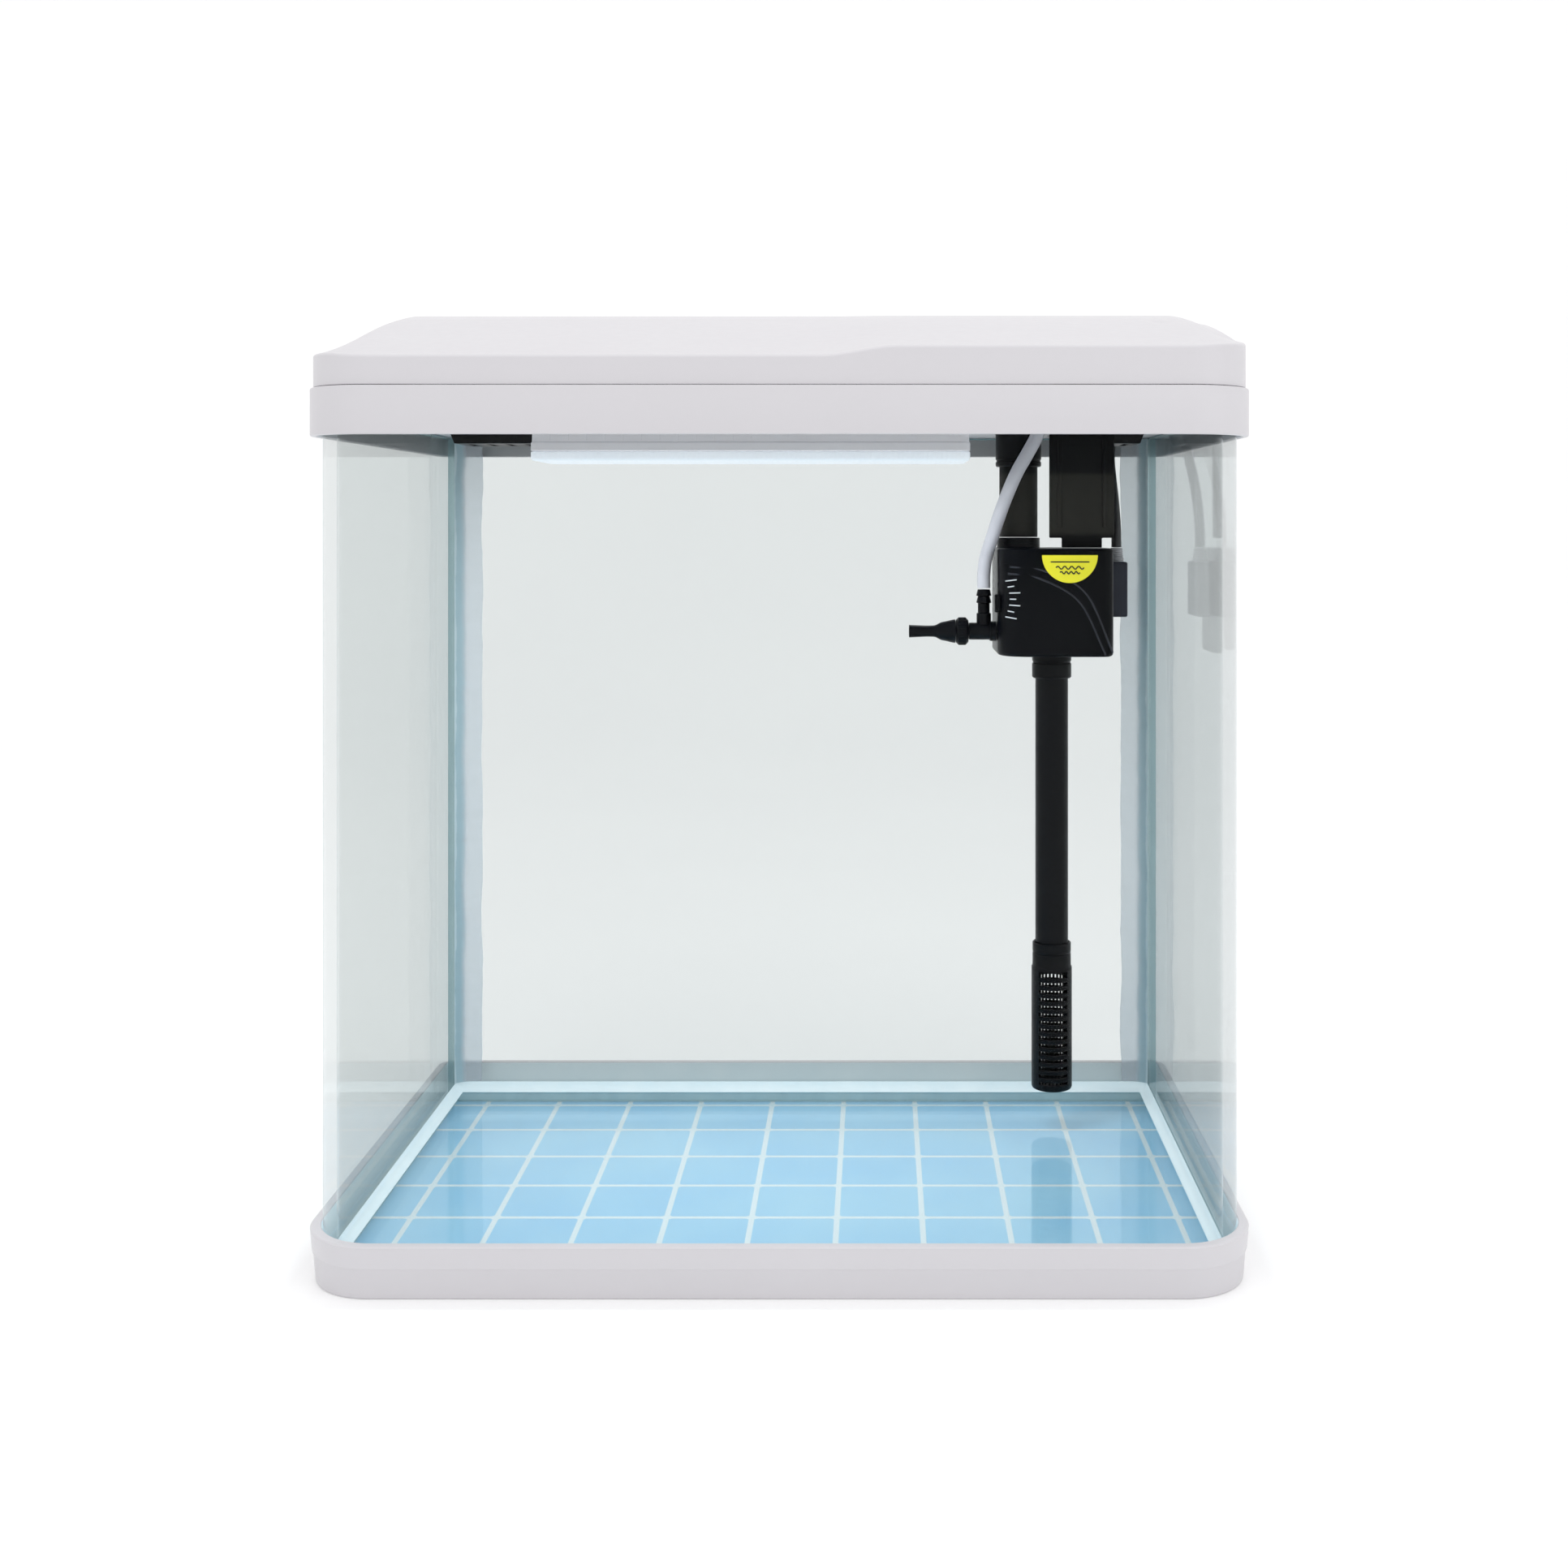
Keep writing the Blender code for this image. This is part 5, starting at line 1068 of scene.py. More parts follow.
def makeBeads():
    # hollow cheeks, pulled smooth with a finger, with a slightly uneven edge
    for side, name in ((-1, "left"), (1, "right")):
        low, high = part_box("corner_seam_" + name)
        wall = low.x if side < 0 else high.x
        wide, deep = high.x - low.x, high.y - low.y
        rear = high.y
        steps, rises = 10, 90
        bm = bmesh.new()
        rings = []
        for rise in range(rises + 1):
            z = low.z + (high.z - low.z) * rise / rises
            ease = noises.noise(
                Vector((side * 7.0, 0.0, z * 38))
            ) * 0.0009 + noises.noise(Vector((3.0, side, z * 160))) * 0.0003
            reachX = wide - 0.0012 + ease
            reachY = deep - 0.0004 + ease * 0.25
            points = [(wall, rear)]
            for step in range(steps + 1):
                t = step / steps
                curve = (1 - t) ** 2, 2 * t * (1 - t), t * t
                x = wall - side * (curve[1] * reachX * 0.16 + curve[2] * reachX)
                y = rear - (curve[0] * reachY + curve[1] * reachY * 0.20)
                points.append((x, y))
            rings.append([bm.verts.new((x, y, z)) for x, y in points])
        for below, above in zip(rings, rings[1:]):
            for i in range(len(below)):
                j = (i + 1) % len(below)
                bm.faces.new((below[i], below[j], above[j], above[i]))
        bm.faces.new(rings[0][::-1])
        bm.faces.new(rings[-1])
        obj = meshed("cornerBead" + name.capitalize(), bm, "cornerBead", angle=50)
        placed(obj, "tank", "silicone", "corner_seam_" + name)

    low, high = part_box("bottom_seam")
    inner = glass["width"] - 2 * glass["wall"]
    depth = 2 * (glass["depth"] / 2 - glass["wall"])
    bend = glass["bend"] - glass["wall"]
    leg = high.z - low.z
    sections = []
    steps = 7
    for step in range(steps + 1):
        t = step / steps
        inset = glass["gap"] + leg * ((1 - t) ** 2 * 0.96 + 2 * t * (1 - t) * 0.10 + t * t * 0.05)
        height = low.z + leg * ((1 - t) ** 2 * 0.03 + 2 * t * (1 - t) * 0.12 + t * t * 1.0)
        sections.append((height, rounded(inner, depth, (bend, bend, 0.004, 0.004), inset, steps=24)))
    sections.append((high.z, rounded(inner, depth, (bend, bend, 0.004, 0.004), glass["gap"], steps=24)))
    sections.append((low.z, rounded(inner, depth, (bend, bend, 0.004, 0.004), glass["gap"], steps=24)))
    bm = bmesh.new()
    addLoft(bm, sections, closed=True)
    for vert in bm.verts:
        if abs(vert.co.z - low.z) > 0.0001 and abs(vert.co.z - high.z) > 0.0001:
            vert.co.z += noises.noise(vert.co * 55) * 0.00035
    placed(meshed("floorBead", bm, "floorBead", angle=50), "tank", "silicone", "bottom_seam")


# hood

hood = {
    "skirtBottom": 0.3121,
    "rim": 0.3299,
    "wall": 0.0025,
    "deck": (0.3210, 0.3235),
    "feed": (0.284, 0.060, -0.070),
    # holes for the riser, hose, leads and screws: x, y, radius, sides
    "deckHoles": [
        (0.1012, 0.0660, 0.01105, 40), (0.1096, 0.0435, 0.0055, 40), (0.148, 0.0985, 0.0035, 40),
        (-0.050, -0.010, 0.00295, 40), (-0.09, -0.0125, 0.0018, 24), (0.06, -0.0125, 0.0018, 24),
    ],
    "wellHoles": [(-0.138, 0.0716), (0.138, 0.0716)],
    "wellHole": (0.0430, 0.0338),
    "coverBottom": 0.3302,
    "coverInset": 0.0012,
    "coverWall": 0.0022,
    "faceLeft": 0.0106,
    "faceRight": 0.0141,
    "wave": (0.016, 0.044),
    "crest": 0.3715,
    "crestDepth": 0.165,
    "riseShape": 1.1,
    "rearFall": 0.0040,
    "shoulder": 0.014,
    "shoulderLeft": 0.0060,
    "shoulderRight": 0.0035,
    "crease": 0.0011,
    "hinge": (0.0800, 0.36467),
    "barrel": (0.0058, 0.3040),
    "sweep": 0.0066,
    "pastSides": 0.19,
    "glandHole": (0.0048, -0.110, 0.345),
    "lug": 0.0045,
    # finger marks: middle, half size, depth
    "dents": [((0.1490, -0.0400), (0.0045, 0.0100), 0.0006)],
}


def smoothStep(value):
    value = min(max(value, 0.0), 1.0)
    return value * value * (3 - 2 * value)


def crown(x, y):
    # height of the hood's top
    depth = y + base["depth"] / 2
    start, end = hood["wave"]
    wave = smoothStep((x - start) / (end - start))
    face = hood["rim"] + hood["faceLeft"] + (hood["faceRight"] - hood["faceLeft"]) * wave
    rise = math.sin(math.pi / 2 * min(max(depth / hood["crestDepth"], 0.0), 1.0)) ** hood["riseShape"]
    past = max(depth - hood["crestDepth"], 0.0) / (base["depth"] - hood["crestDepth"])
    edge = base["width"] / 2 - hood["coverInset"] - abs(x)
    shoulder = hood["shoulderLeft"] if x < 0 else hood["shoulderRight"]
    lowered = shoulder * (1 - smoothStep(edge / hood["shoulder"])) * min(max(depth / 0.04, 0.0), 1.0)
    height = face + (hood["crest"] - face) * rise - hood["rearFall"] * past * past - lowered
    for middle, half, drop in hood["dents"]:
        reach = ((x - middle[0]) / half[0]) ** 2 + ((y - middle[1]) / half[1]) ** 2
        height -= drop * (1 - smoothStep(reach))
    return height


def coverGrid(bm, inset, rows):
    # one skin of the hood's cover, with a small round where the top meets the sides
    half = base["width"] / 2 - hood["coverInset"] - inset
    front = -base["depth"] / 2 + hood["coverInset"] + inset
    rear = base["depth"] / 2 - hood["coverInset"] - inset
    frontBend = base["frontRadius"] - hood["coverInset"] - inset
    rearBend = base["rearRadius"] - hood["coverInset"] - inset
    crease = max(hood["crease"] - inset * 0.4, 0.0002)
    edges = (
        0.0, 0.00012, 0.00030, 0.00055, 0.00085, 0.0012, 0.0018, 0.0028, 0.0042, 0.0060, 0.0082, 0.0108,
        0.0135,
    )

    def halfWidth(y):
        for reach, bend in ((y - front, frontBend), (rear - y, rearBend)):
            if reach < bend:
                return half - bend + math.sqrt(max(bend**2 - (bend - reach) ** 2, 0.0))
        return half

    def fromEdge(x, y):
        away = half - abs(x)
        for reach, bend in ((y - front, frontBend), (rear - y, rearBend)):
            if reach < bend and away < bend:
                return bend - math.hypot(bend - away, bend - reach)
            away = min(away, max(reach, 0.0)) if reach < bend else away
        return away

    grid = []
    middle = 128
    for y in rows:
        wide = halfWidth(y)
        inner = wide - 0.016
        line = [-(wide - edge) for edge in edges]
        line += [inner * (2 * step / middle - 1) for step in range(middle + 1)]
        line += [wide - edge for edge in reversed(edges)]
        points = []
        for x in line:
            near = min(max(fromEdge(x, y), 0.0), crease)
            drop = crease - math.sqrt(max(crease**2 - (crease - near) ** 2, 0.0))
            points.append(bm.verts.new((x, y, crown(x, y) - inset - drop)))
        grid.append(points)
    return grid


def coverRows(inset, start, end):
    # lines across the cover, close together in the bends
    front = -base["depth"] / 2 + hood["coverInset"] + inset
    rear = base["depth"] / 2 - hood["coverInset"] - inset
    rows = {start, end}
    for low, bend, way in (
        (front, base["frontRadius"] - hood["coverInset"] - inset, 1),
        (rear, base["rearRadius"] - hood["coverInset"] - inset, -1),
    ):
        for turn in range(29):
            y = low + way * bend * (1 - math.cos(math.pi / 2 * turn / 28))
            if start < y < end:
                rows.add(y)
    y = front
    while y < end:
        if start < y < end and all(abs(y - other) > 0.0009 for other in rows):
            rows.add(y)
        y += 0.0022
    return sorted(rows)


def makeCovers():
    hingeY, hingeZ = hood["hinge"]
    front = -base["depth"] / 2 + hood["coverInset"]
    rear = base["depth"] / 2 - hood["coverInset"]
    wall, past = hood["coverWall"], hood["pastSides"]

    def solid(inset, start, end, bottom):
        bm = bmesh.new()
        grid = coverGrid(bm, inset, coverRows(inset, start, end))
        for near, far in zip(grid, grid[1:]):
            for i in range(len(near) - 1):
                bm.faces.new((near[i], near[i + 1], far[i + 1], far[i]))
        right = [line[-1] for line in grid[1:-1]]
        left = [line[0] for line in grid[-2:0:-1]]
        rim = grid[0] + right + grid[-1][::-1] + left
        foot = [bm.verts.new((vert.co.x, vert.co.y, bottom)) for vert in rim]
        for i in range(len(rim)):
            j = (i + 1) % len(rim)
            bm.faces.new((rim[j], rim[i], foot[i], foot[j]))
        bm.faces.new(foot)
        return bm

    bottom = hood["coverBottom"]
    flap = meshed("flapShell", solid(0.0, front, hingeY, bottom), "whiteShell")
    cutBy(flap, solid(wall, front + wall, hingeY + 0.004, bottom - 0.01))
    radius, length = hood["barrel"]
    bm = bmesh.new()
    end = length / 2
    # each end has a blind bore for its pin
    bore, seat = 0.0018, end - 0.0095
    profile = [(bore, -seat), (bore, -end), (radius, -end), (radius, end), (bore, end), (bore, seat)]
    profile = [(0, -seat), *softened(profile, 0.0005), (0, seat)]
    addTurned(bm, profile, (0, hingeY, hingeZ), "X", 48)
    barrel = meshed("barrel", bm, "whiteShell")
    placed(joined("flapCover", flap, barrel), "flap", "white_plastic", "flap_cover")

    cover = meshed("rearShell", solid(0.0, hingeY + 0.0006, rear, bottom), "whiteShell")
    cutBy(cover, solid(wall, hingeY - 0.02, rear - wall, bottom - 0.01))
    bm = bmesh.new()
    drum = [(0, -past), (hood["sweep"], -past), (hood["sweep"], past), (0, past)]
    addTurned(bm, drum, (0, hingeY, hingeZ), "X", 64)
    cutBy(cover, bm)
    # the way of the flap's rear edge as it opens
    cutBy(cover, boxBody((-past, hingeY - 0.001, hingeZ), (past, hingeY + hood["sweep"], hingeZ + 0.02)))
    bm = bmesh.new()
    radius, x, z = hood["glandHole"]
    addTurned(bm, [(0, -0.01), (radius, -0.01), (radius, 0.01), (0, 0.01)], (x, rear, z), "Y", 48)
    cutBy(cover, bm)
    lugs = []
    for side in (-1, 1):
        bm = bmesh.new()
        head = 0.0034
        arc = [(-head * math.cos(math.pi * i / 16), head * math.sin(math.pi * i / 16)) for i in range(17)]
        back = rear - wall + 0.0003 - hingeY
        outline = arc + [(head, -0.0003), (back, -0.0003), (back, -0.0100), (head, -0.0100), (-head, -head)]
        near = side * (length / 2 + 0.0003)
        far = near + side * hood["lug"]
        swap = Matrix(((0, 0, 1, 0), (1, 0, 0, hingeY), (0, 1, 0, hingeZ), (0, 0, 0, 1)))
        addLoft(bm, [(min(near, far), outline), (max(near, far), outline)], place=swap)
        lug = meshed("lug", bm, "whiteShell")
        lugs.append(eased(lug, 0.0003))
    placed(joined("rearCover", cover, *lugs), "hood", "white_plastic", "rear_cover")


def makeHoodFrame():
    # skirt and rim as one moulded ring, then the deck with its openings
    corners = (base["frontRadius"],) * 2 + (base["rearRadius"],) * 2

    def outline(inset):
        return rounded(base["width"], base["depth"], corners, inset)

    wall, low, high = hood["wall"], hood["skirtBottom"], hood["rim"]
    deckLow, deckHigh = hood["deck"]
    section = [(0.0, low + 0.0006), (0.0, high - 0.0006), (0.0002, high - 0.0002), (0.0006, high)]
    section += [(wall - 0.0004, high), (wall, high - 0.0004), (wall, deckHigh), (wall + 0.0001, deckLow)]
    section += [(wall, low + 0.0005), (wall - 0.0005, low), (0.0006, low), (0.0002, low + 0.0002)]
    bm = bmesh.new()
    addLoft(bm, [(height, outline(inset)) for inset, height in section], closed=True)
    skirt = meshed("skirt", bm, "whiteShell", angle=40)

    curve = bpy.data.curves.new("deck", "CURVE")
    curve.dimensions = "2D"
    curve.fill_mode = "BOTH"
    curve.extrude = (deckHigh - deckLow) / 2
    shapes = [outline(wall - 0.0002)]
    length, depth, middle = hood["feed"]
    shapes.append(rounded(length, depth, (0.003,) * 4, 0, (0, middle), 6))
    for x, y, radius, sides in hood["deckHoles"]:
        turns = [math.tau * i / sides for i in range(sides)]
        shapes.append([(x + radius * math.cos(turn), y + radius * math.sin(turn)) for turn in turns])
    for x, y in hood["wellHoles"]:
        shapes.append(rounded(*hood["wellHole"], (0.0006,) * 4, 0, (x, y), 2))
    for shape in shapes:
        spline = curve.splines.new("POLY")
        spline.points.add(len(shape) - 1)
        for point, (x, y) in zip(spline.points, shape):
            point.co = (x, y, 0, 1)
        spline.use_cyclic_u = True
    flat = bpy.data.objects.new("deck", curve)
    bpy.context.scene.collection.objects.link(flat)
    bpy.context.view_layer.update()
    mesh = bpy.data.meshes.new_from_object(flat.evaluated_get(bpy.context.evaluated_depsgraph_get()))
    bpy.data.objects.remove(flat)
    bm = bmesh.new()
    bm.from_mesh(mesh)
    bmesh.ops.remove_doubles(bm, verts=bm.verts, dist=0.00001)
    bmesh.ops.translate(bm, vec=(0, 0, (deckLow + deckHigh) / 2), verts=bm.verts)
    bmesh.ops.dissolve_limit(bm, angle_limit=math.radians(1), verts=bm.verts, edges=bm.edges)
    deck = meshed("deck", bm, "whiteShell")
    eased(deck, 0.0004, 2)
    # a raised lip round the feed opening
    bm = bmesh.new()
    lip = [
        (deckHigh - 0.0002, 0.0), (deckHigh + 0.0018, 0.0002), (deckHigh + 0.0022, -0.0004),
        (deckHigh + 0.0022, -0.0012), (deckHigh - 0.0002, -0.0016),
    ]
    addLoft(
        bm,
        [(height, rounded(length, depth, (0.003,) * 4, inset, (0, middle), 8)) for height, inset in lip],
        closed=True,
    )
    rim = meshed("feedLip", bm, "whiteShell")
    placed(joined("hoodFrame", skirt, deck, rim), "hood", "white_plastic", "hood_frame")


print("helpers ready")
makeFloor()
makeLampLight()
makeBase()
makeGlassWall()
makePanes()
makeBeads()
keep("tile_sheet", "tilePrint")
print("tank done")
makeHoodFrame()
makeCovers()
print("hood done")


# lamp

lamp = {
    "centre": (-0.015, -0.0125),
    "size": (0.178, 0.045),
    "radius": 0.005,
    "housing": (0.3093, 0.3207),
    "diffuser": (0.3053, 0.3090),
    "ribs": 23,
    "leds": (24, 0.0070),
    "ledRows": (-0.014, 0.0, 0.014),
    "screws": (-0.090, 0.060),
}


def makeLamp():
    low, high = lamp["housing"]
    width, depth = lamp["size"]
    corners = (lamp["radius"],) * 4

    def outline(inset):
        return rounded(width, depth, corners, inset, lamp["centre"], 12)

    # an open tray with a stepped skirt, its roof against the deck
    section = [(low, 0.0014), (low, 0.0003), (low + 0.0003, 0.0), (low + 0.0032, 0.0), (low + 0.0036, 0.0004)]
    section += [(high - 0.0008, 0.0006), (high, 0.0014)]
    inside = [(low + 0.0004, 0.0018), (high - 0.0022, 0.0020)]
    bm = bmesh.new()
    addLoft(bm, [(z, outline(inset)) for z, inset in inside[::-1] + section])
    housing = meshed("housing", bm, "lampShell")
    # cooling ribs on the long sides
    bm = bmesh.new()
    x, y = lamp["centre"]
    addBox(
        bm, (-0.0006, y - depth / 2 + 0.0001, low + 0.0042), (0.0006, y - depth / 2 + 0.0012, high - 0.0014)
    )
    addBox(
        bm, (-0.0006, y + depth / 2 - 0.0012, low + 0.0042), (0.0006, y + depth / 2 - 0.0001, high - 0.0014)
    )
    rib = meshed("rib", bm, "lampShell")
    pitch = (width - 0.016) / (lamp["ribs"] - 1)
    first = x - pitch * (lamp["ribs"] - 1) / 2
    ribs = repeated("ribs", rib, lamp["ribs"], (pitch, 0, 0), look="lampShell", place=(first, 0, 0))
    placed(joined("lampHousing", housing, ribs), "hood", "lamp_plastic", "lamp_housing")

    low, high = lamp["diffuser"]
    bm = bmesh.new()
    section = [(low + 0.0012, 0.0012), (high - 0.0001, 0.0012), (high, 0.0003), (high - 0.0003, 0.0)]
    section += [(low + 0.0011, 0.0), (low + 0.0005, 0.0003), (low + 0.0001, 0.0009), (low, 0.0018)]
    addLoft(bm, [(z, outline(inset)) for z, inset in section])
    placed(meshed("lampDiffuser", bm, "litDiffuser"), "hood", "diffuser", "lamp_diffuser")

    keep("led_board", "boardMask")
    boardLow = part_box("led_board")[0].z
    count, pitch = lamp["leds"]
    rows = []
    for offset in lamp["ledRows"]:
        chip = meshed("chip", boxBody((-0.0014, -0.0014, -0.0008), (0.0014, 0.0014, -0.00005)), "ledChip")
        first = x - pitch * (count - 1) / 2
        rows.append(
            repeated("chips", chip, count, (pitch, 0, 0), look="ledChip", place=(first, y + offset, boardLow))
        )
    placed(joined("ledChips", *rows), "hood", "board")

    for side, x in zip(("left", "right"), lamp["screws"]):
        node = "lamp_screw_" + side
        bottom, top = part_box(node)
        bm = bmesh.new()
        head, stem = 0.0028, 0.0015
        seat = top.z - 0.0016
        profile = [
            (0, bottom.z), (stem - 0.0004, bottom.z), (stem, bottom.z + 0.0005), (stem, seat),
            (head, seat),
        ]
        profile += [
            (head, seat + 0.0005), (head * 0.8, seat + 0.0013), (head * 0.35, seat + 0.0016),
            (0, seat + 0.0016),
        ]
        addTurned(bm, profile, (x, y, 0), sides=32)
        screw = meshed("screw", bm, "steelPins")
        # the cross is cut an arm at a time, since arms that overlap make a bad cutter
        for turn in (0.4, 0.4 + math.pi / 2):
            bm = bmesh.new()
            addBox(bm, (-0.0015, -0.00028, -0.0008), (0.0015, 0.00028, 0.002))
            place = Matrix.Translation((x, y, seat + 0.0016)) @ Matrix.Rotation(turn, 4, "Z")
            bmesh.ops.transform(bm, matrix=place, verts=bm.verts)
            cutBy(screw, bm)
        screw.name = "lampScrew" + side.capitalize()
        placed(screw, "hood", "steel", node)


# filter tray

tray = {
    "slats": 26,
    "slat": (0.0030, 0.0014),
}


def makeFilter():
    refined("filter_tray", "filterTray", "blackShell", "hood", "black_plastic", 0.0004)
    # a grille of slats in a frame
    low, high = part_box("tray_grille")
    rail = 0.003
    bm = bmesh.new()
    addBox(bm, (low.x, low.y, low.z), (high.x, low.y + rail, high.z))
    addBox(bm, (low.x, high.y - rail, low.z), (high.x, high.y, high.z))
    frames = eased(meshed("rails", bm, "blackShell"), 0.0003)
    bm = bmesh.new()
    width, height = tray["slat"]
    addBox(
        bm, (-width / 2, low.y + rail * 0.5, low.z + 0.0001), (width / 2, high.y - rail * 0.5, low.z + height)
    )
    slat = meshed("slat", bm, "blackShell")
    pitch = (high.x - low.x - width) / (tray["slats"] - 1)
    slats = repeated("slats", slat, tray["slats"], (pitch, 0, 0), place=(low.x + width / 2, 0, 0))
    placed(joined("trayGrille", frames, eased(slats, 0.0002, 1)), "hood", "black_plastic", "tray_grille")

    # foam pad: a fine uneven skin with soft edges
    low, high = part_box("filter_sponge")
    bm = bmesh.new()
    addBox(bm, low, high)
    pad = eased(meshed("pad", bm, "openFoam"), 0.0012, 3)
    bm = bmesh.new()
    bm.from_mesh(pad.data)
    bpy.data.objects.remove(pad)
    bmesh.ops.subdivide_edges(
        bm, edges=[edge for edge in bm.edges if edge.calc_length() > 0.1], cuts=90, use_grid_fill=True
    )
    bmesh.ops.subdivide_edges(
        bm, edges=[edge for edge in bm.edges if edge.calc_length() > 0.02], cuts=14, use_grid_fill=True
    )
    for vert in bm.verts:
        centre = (low + high) / 2
        dip = (noises.noise(vert.co * 130) - 0.3) * 0.00045 + (noises.noise(vert.co * 420) - 0.3) * 0.0002
        vert.co.z -= abs(dip) if vert.co.z > centre.z else -abs(dip)
    placed(meshed("filterSponge", bm, "openFoam"), "hood", "sponge", "filter_sponge")


# pump

pump = {
    "clip": (0.2440, 0.004),
    "left": 0.0905,
    "right": 0.1420,
    "front": 0.0400,
    "rear": 0.0900,
    "bottom": 0.2204,
    "top": 0.2688,
    "split": 0.0500,
    "radii": (0.0140, 0.0050, 0.0040, 0.0040),
    "ease": 0.0010,
    "riser": (0.1012, 0.0660),
    "socket": 0.0098,
    "socketTop": 0.2735,
    "dialTicks": 7,
}


def pumpOutline(inset):
    width, depth = pump["right"] - pump["left"], pump["rear"] - pump["front"]
    centre = (pump["left"] + width / 2, pump["front"] + depth / 2)
    return rounded(width, depth, pump["radii"], inset, centre, 16)


def makePump():
    low, high, ease = pump["bottom"], pump["top"], pump["ease"]
    sections = [
        (low, pumpOutline(0.0016)), (low + 0.0004, pumpOutline(0.0006)),
        (low + ease, pumpOutline(0.0002)), (low + 0.0018, pumpOutline(0.0)),
    ]
    sections += [
        (high - ease, pumpOutline(0.0)), (high - ease * 0.35, pumpOutline(ease * 0.3)),
        (high, pumpOutline(ease)),
    ]

    # rear housing, with its motor pocket and riser socket
    bm = bmesh.new()
    addLoft(bm, sections)
    housing = meshed("pumpHousing", bm, "pumpShell")
    cutBy(housing, boxBody((0.05, 0.0, 0.2), (0.18, pump["split"] + 0.0003, 0.3)))
    pocket = 0.0128
    cutBy(housing, boxBody((0.1135, 0.068 - pocket, 0.250 - pocket), (0.160, 0.068 + pocket, 0.250 + pocket)))
    bm = bmesh.new()
    radius, top = pump["socket"], pump["socketTop"]
    profile = [
        (0.0062, high - 0.004), (0.0062, top), (radius, top), (radius, high + 0.0004),
        (radius + 0.0006, high - 0.0006),
    ]
    profile += [(0.0062, high - 0.0006)]
    addTurned(bm, softened(profile, 0.0005), (*pump["riser"], 0))
    socket = meshed("socket", bm, "pumpShell")
    # cooling fins on the back, and one clip across the seam on the outlet's side
    bm = bmesh.new()
    addBox(bm, (-0.0008, pump["rear"] - 0.0006, low + 0.006), (0.0008, pump["rear"] + 0.0012, high - 0.006))
    fins = repeated(
        "fins", meshed("fin", bm, "pumpShell"), 9, (0.0046, 0, 0), look="pumpShell", place=(0.0980, 0, 0)
    )
    z, reach = pump["clip"]
    near = (pump["left"] - 0.0012, pump["split"] - 0.0030, z - reach)
    far = (pump["left"] + 0.001, pump["split"] + 0.0080, z + reach)
    clip = eased(meshed("clip", boxBody(near, far), "pumpShell"), 0.0004)
    placed(
        joined("pumpHousing", housing, socket, eased(fins, 0.0004, 1), clip),
        "hood",
        "black_plastic",
        "pump_housing",
    )

    # front cover, hollowed out behind its face, with two swept ridges
    bm = bmesh.new()
    addLoft(bm, sections)
    cover = meshed("coverShell", bm, "pumpShell")
    cutBy(cover, boxBody((0.05, pump["split"], 0.2), (0.18, 0.12, 0.3)))
    bm = bmesh.new()
    wall = 0.003
    addBox(
        bm,
        (pump["left"] + 2 * wall, pump["front"] + wall, low + wall),
        (pump["right"] - wall, pump["split"] + 0.001, high - wall),
    )
    cutBy(cover, bm)
    front = pump["front"]
    bm = bmesh.new()
    for ends in (((0.0955, 0.2606), (0.1100, 0.2590), (0.1290, 0.2490), (0.1412, 0.2225)),
                 ((0.0946, 0.2576), (0.1080, 0.2556), (0.1262, 0.2450), (0.1380, 0.2215))):
        line = smoothRoute([(x, front + 0.0001 + max(0.0, 0.1020 - x) ** 2 * 38, z) for x, z in ends], 0.0008)
        addTube(bm, line, 0.00042, 10)
    ridges = meshed("ridges", bm, "mouldLine")
    placed(joined("pumpCover", cover, ridges), "hood", "black_plastic", "pump_front_cover")

    # white scale of the flow dial, on the round front left corner
    bm = bmesh.new()
    radius = pump["radii"][0] + 0.00012
    centreX, centreY = pump["left"] + pump["radii"][0], pump["front"] + pump["radii"][0]

    def onCorner(x, z):
        reach = max(centreX - x, 0.0)
        return Vector((x, centreY - math.sqrt(max(radius**2 - reach**2, 0.0)), z))

    lowX, highX = 0.0938, 0.0990
    for step in range(pump["dialTicks"]):
        t = step / (pump["dialTicks"] - 1)
        x = lowX + (highX - lowX) * math.sin(math.pi * t) * 0.35
        z = 0.2382 + 0.0160 * t
        long = 0.0046 if step % 2 == 0 else 0.0026
        addTube(
            bm, [onCorner(x + long * i / 4, z + (t - 0.5) * 0.0014 * i / 4) for i in range(5)], 0.00024, 8
        )
    placed(meshed("flowScale", bm, "inkWhite"), "hood", "label")

    # half-round label with a plain water line
    low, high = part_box("level_label")
    centre, radius = (low.x + high.x) / 2, (high.x - low.x) / 2
    bm = bmesh.new()
    arc = [
        (
            centre + radius * math.cos(math.pi + math.pi * i / 48),
            high.z + radius * math.sin(math.pi + math.pi * i / 48),
        )
        for i in range(49)
    ]
    swap = Matrix(((1, 0, 0, 0), (0, 0, 1, 0), (0, 1, 0, 0), (0, 0, 0, 1)))
    addLoft(bm, [(low.y, arc), (high.y, arc)], place=swap)
    label = meshed("label", bm, "yellowVinyl")
    bm = bmesh.new()
    face = low.y - 0.00004
    for drop, half, swell in ((0.0030, 0.0086, 0.0), (0.0056, 0.0062, 0.0007), (0.0078, 0.0044, 0.0006)):
        line = [
            Vector((centre + half * (step / 12 - 1), face, high.z - drop + swell * math.sin(step * 1.05)))
            for step in range(25)
        ]
        addTube(bm, line, 0.00028, 8)
    marks = meshed("marks", bm, "inkBlack")
    placed(joined("levelLabel", label, marks), "hood", "label", "level_label")


